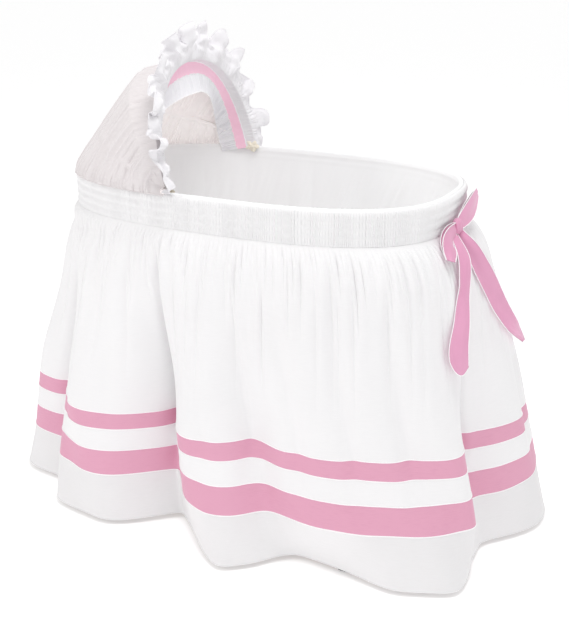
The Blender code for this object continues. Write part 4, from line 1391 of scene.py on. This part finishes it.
def ribbon_course(stops, count, degrees, table):
    """A smooth path through (y, height, distance off the skirt) stops, the way the ribbon faces along
    it, and the way across it."""
    centres = spline([on_foot(*stop, table)[0] for stop in stops], count)
    faces = []
    for point in centres:
        _, out, along = on_foot(point[1], point[2], 0.0, table)
        faces.append(facing(out, along, degrees))
    faces = np.stack(faces)
    ahead = unit(np.gradient(centres, axis=0))
    return centres, faces, unit(np.cross(faces, ahead))


# The ribbon's courses over the foot end: y, height and distance off the skirt.
NEAR_TAIL = (
    (-0.046, 0.690, 0.014),
    (-0.076, 0.655, 0.014),
    (-0.098, 0.610, 0.014),
    (-0.114, 0.575, 0.014),
    (-0.126, 0.535, 0.014),
    (-0.139, 0.490, 0.014),
    (-0.141, 0.447, 0.015),
)
FAR_TAIL = (
    (-0.030, 0.690, 0.016),
    (-0.036, 0.660, 0.018),
    (-0.024, 0.620, 0.020),
    (-0.004, 0.583, 0.020),
    (0.034, 0.525, 0.020),
    (0.074, 0.470, 0.020),
    (0.150, 0.410, 0.020),
)
UPPER_LOOP = ((-0.030, 0.702, 0.016), (0.030, 0.722, 0.020), (0.098, 0.741, 0.020))
LOWER_LOOP = ((-0.036, 0.702, 0.016), (-0.080, 0.688, 0.018), (-0.122, 0.658, 0.016))
NEAR_TAIL_WIDTHS = (0.021, 0.027, 0.028, 0.029, 0.033, 0.040, 0.040)
FAR_TAIL_WIDTHS = (0.020, 0.030, 0.035, 0.036, 0.034, 0.029, 0.010)
LOOP_WIDTHS = (0.016, 0.037)  # at its ends and where it is widest
TAIL_STEPS = 70
LOOP_STEPS = 46


def make_ribbon():
    """The bow: two tails, two loops and the knot over them."""
    table = skirt_lookup()
    make_tails(table)
    make_loops(table)
    make_knot(table)


def make_tails(table):
    """Each tail hangs from the knot over the skirt and swings a little."""
    tails = (
        ("ribbon_near_tail", NEAR_TAIL, 30, NEAR_TAIL_WIDTHS, (0.009, -0.022)),
        ("ribbon_far_tail", FAR_TAIL, 48, FAR_TAIL_WIDTHS, (0.0, 0.006)),
    )
    share = np.linspace(0, 1, TAIL_STEPS)
    sway = 0.0025 * np.sin(share * 9.0) * share
    for name, stops, degrees, widths, ends in tails:
        centres, faces, across = ribbon_course(stops, TAIL_STEPS, degrees, table)
        width = np.interp(share, np.linspace(0, 1, len(widths)), widths)
        ribbon(f"cloth_{name}", name, centres + faces * sway[:, None], across, width, ends)


def make_loops(table):
    """Each loop runs out from the knot to its tip and back again just behind itself."""
    share = np.linspace(0, 1, LOOP_STEPS)
    gap = 0.0042 * np.sin(math.pi * share) ** 0.7 + 0.0005
    narrow, wide = LOOP_WIDTHS
    width = narrow + (wide - narrow) * np.sin(math.pi * np.clip(share * 0.94 + 0.02, 0, 1)) ** 0.8
    widths = np.concatenate((width, width[::-1]))
    loops = (("ribbon_upper_loop", UPPER_LOOP, 52), ("ribbon_lower_loop", LOWER_LOOP, 28))
    for name, stops, degrees in loops:
        centres, faces, across = ribbon_course(stops, LOOP_STEPS, degrees, table)
        front = centres + faces * gap[:, None]
        rear = centres - faces * gap[:, None]
        path = np.concatenate((front, rear[::-1]))
        ribbon(f"cloth_{name}", name, path, np.concatenate((across, across[::-1])), widths)


def make_knot(table):
    """The knot: a band wrapped round the bow's middle, with creases that run into the loops."""
    knot, out, along = on_foot(*KNOT_AT, 0.016, table)
    longitude = np.linspace(0, 2 * math.pi, 72, endpoint=False)
    rings = []
    for latitude in np.linspace(-math.pi / 2, math.pi / 2, 36):
        c, s = math.cos(latitude), math.sin(latitude)
        crease_depth = 1 + 0.07 * np.sin(4 * longitude + 2.0 * s) * c + 0.04 * np.sin(9 * longitude) * c
        ring = (
            knot
            + out * (0.0105 * c * np.cos(longitude) * crease_depth)[:, None]
            + along * (0.0125 * c * np.sin(longitude) * crease_depth)[:, None]
            + (UP * 0.0165 * math.copysign(abs(s) ** 0.85, s))
        )
        rings.append(ring)
    made = surface("cloth_ribbon_knot", np.stack(rings), [RIBBON], ring=True)
    weld(made, 1e-5)
    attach(made, "basket")
    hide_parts("ribbon_knot")


# ---------------------------------------------------------------- stand


STRAP_WIDTH = 0.030
STRAP_THICKNESS = 0.0018


def make_straps():
    """The webbing straps between the two top rails, which stop the stand from opening further."""
    for side in ("head", "foot"):
        node = f"stop_strap_{side}"
        low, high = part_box(node)
        x, z = (low.x + high.x) / 2, (low.z + high.z) / 2
        share = np.linspace(0.0, 1.0, 60)
        ys = low.y + (high.y - low.y) * share
        sag = -0.0015 * np.sin(math.pi * share)
        grid = np.zeros((60, 13, 3))
        for c, wide in enumerate(np.linspace(-STRAP_WIDTH / 2, STRAP_WIDTH / 2, 13)):
            grid[:, c, 0] = x + wide
            grid[:, c, 1] = ys
            grid[:, c, 2] = z + sag
        made = shell(f"webbing_{node}", grid, grid - UP * STRAP_THICKNESS, [WEBBING])
        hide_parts(node)
        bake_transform(made)


def dress_nodes():
    """Gives each CAD node that stays its finished material."""
    looks = (
        (("outer_leg", "inner_leg"), BEECH_ALONG),
        (("outer_top", "outer_lower", "inner_top", "inner_lower"), BEECH_RAIL),
        (("outer_pad", "inner_pad"), RUBBER),
        (("pivot", "hood_pin"), STEEL),
        (("hood_front_bow", "hood_middle_bow", "hood_rear_bow", "hood_bracket"), PLASTIC),
    )
    for name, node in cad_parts.items():
        for starts, look in looks:
            if name.startswith(starts):
                node.data.materials.clear()
                node.data.materials.append(look)


make_camera()
make_light()
make_floor()
make_skirt()
make_waistband()
make_liner()
make_mattress()
make_basket()
make_canopy()
make_ruffle()
make_inner_bands()
make_rosettes()
make_ribbon()
make_straps()
dress_nodes()
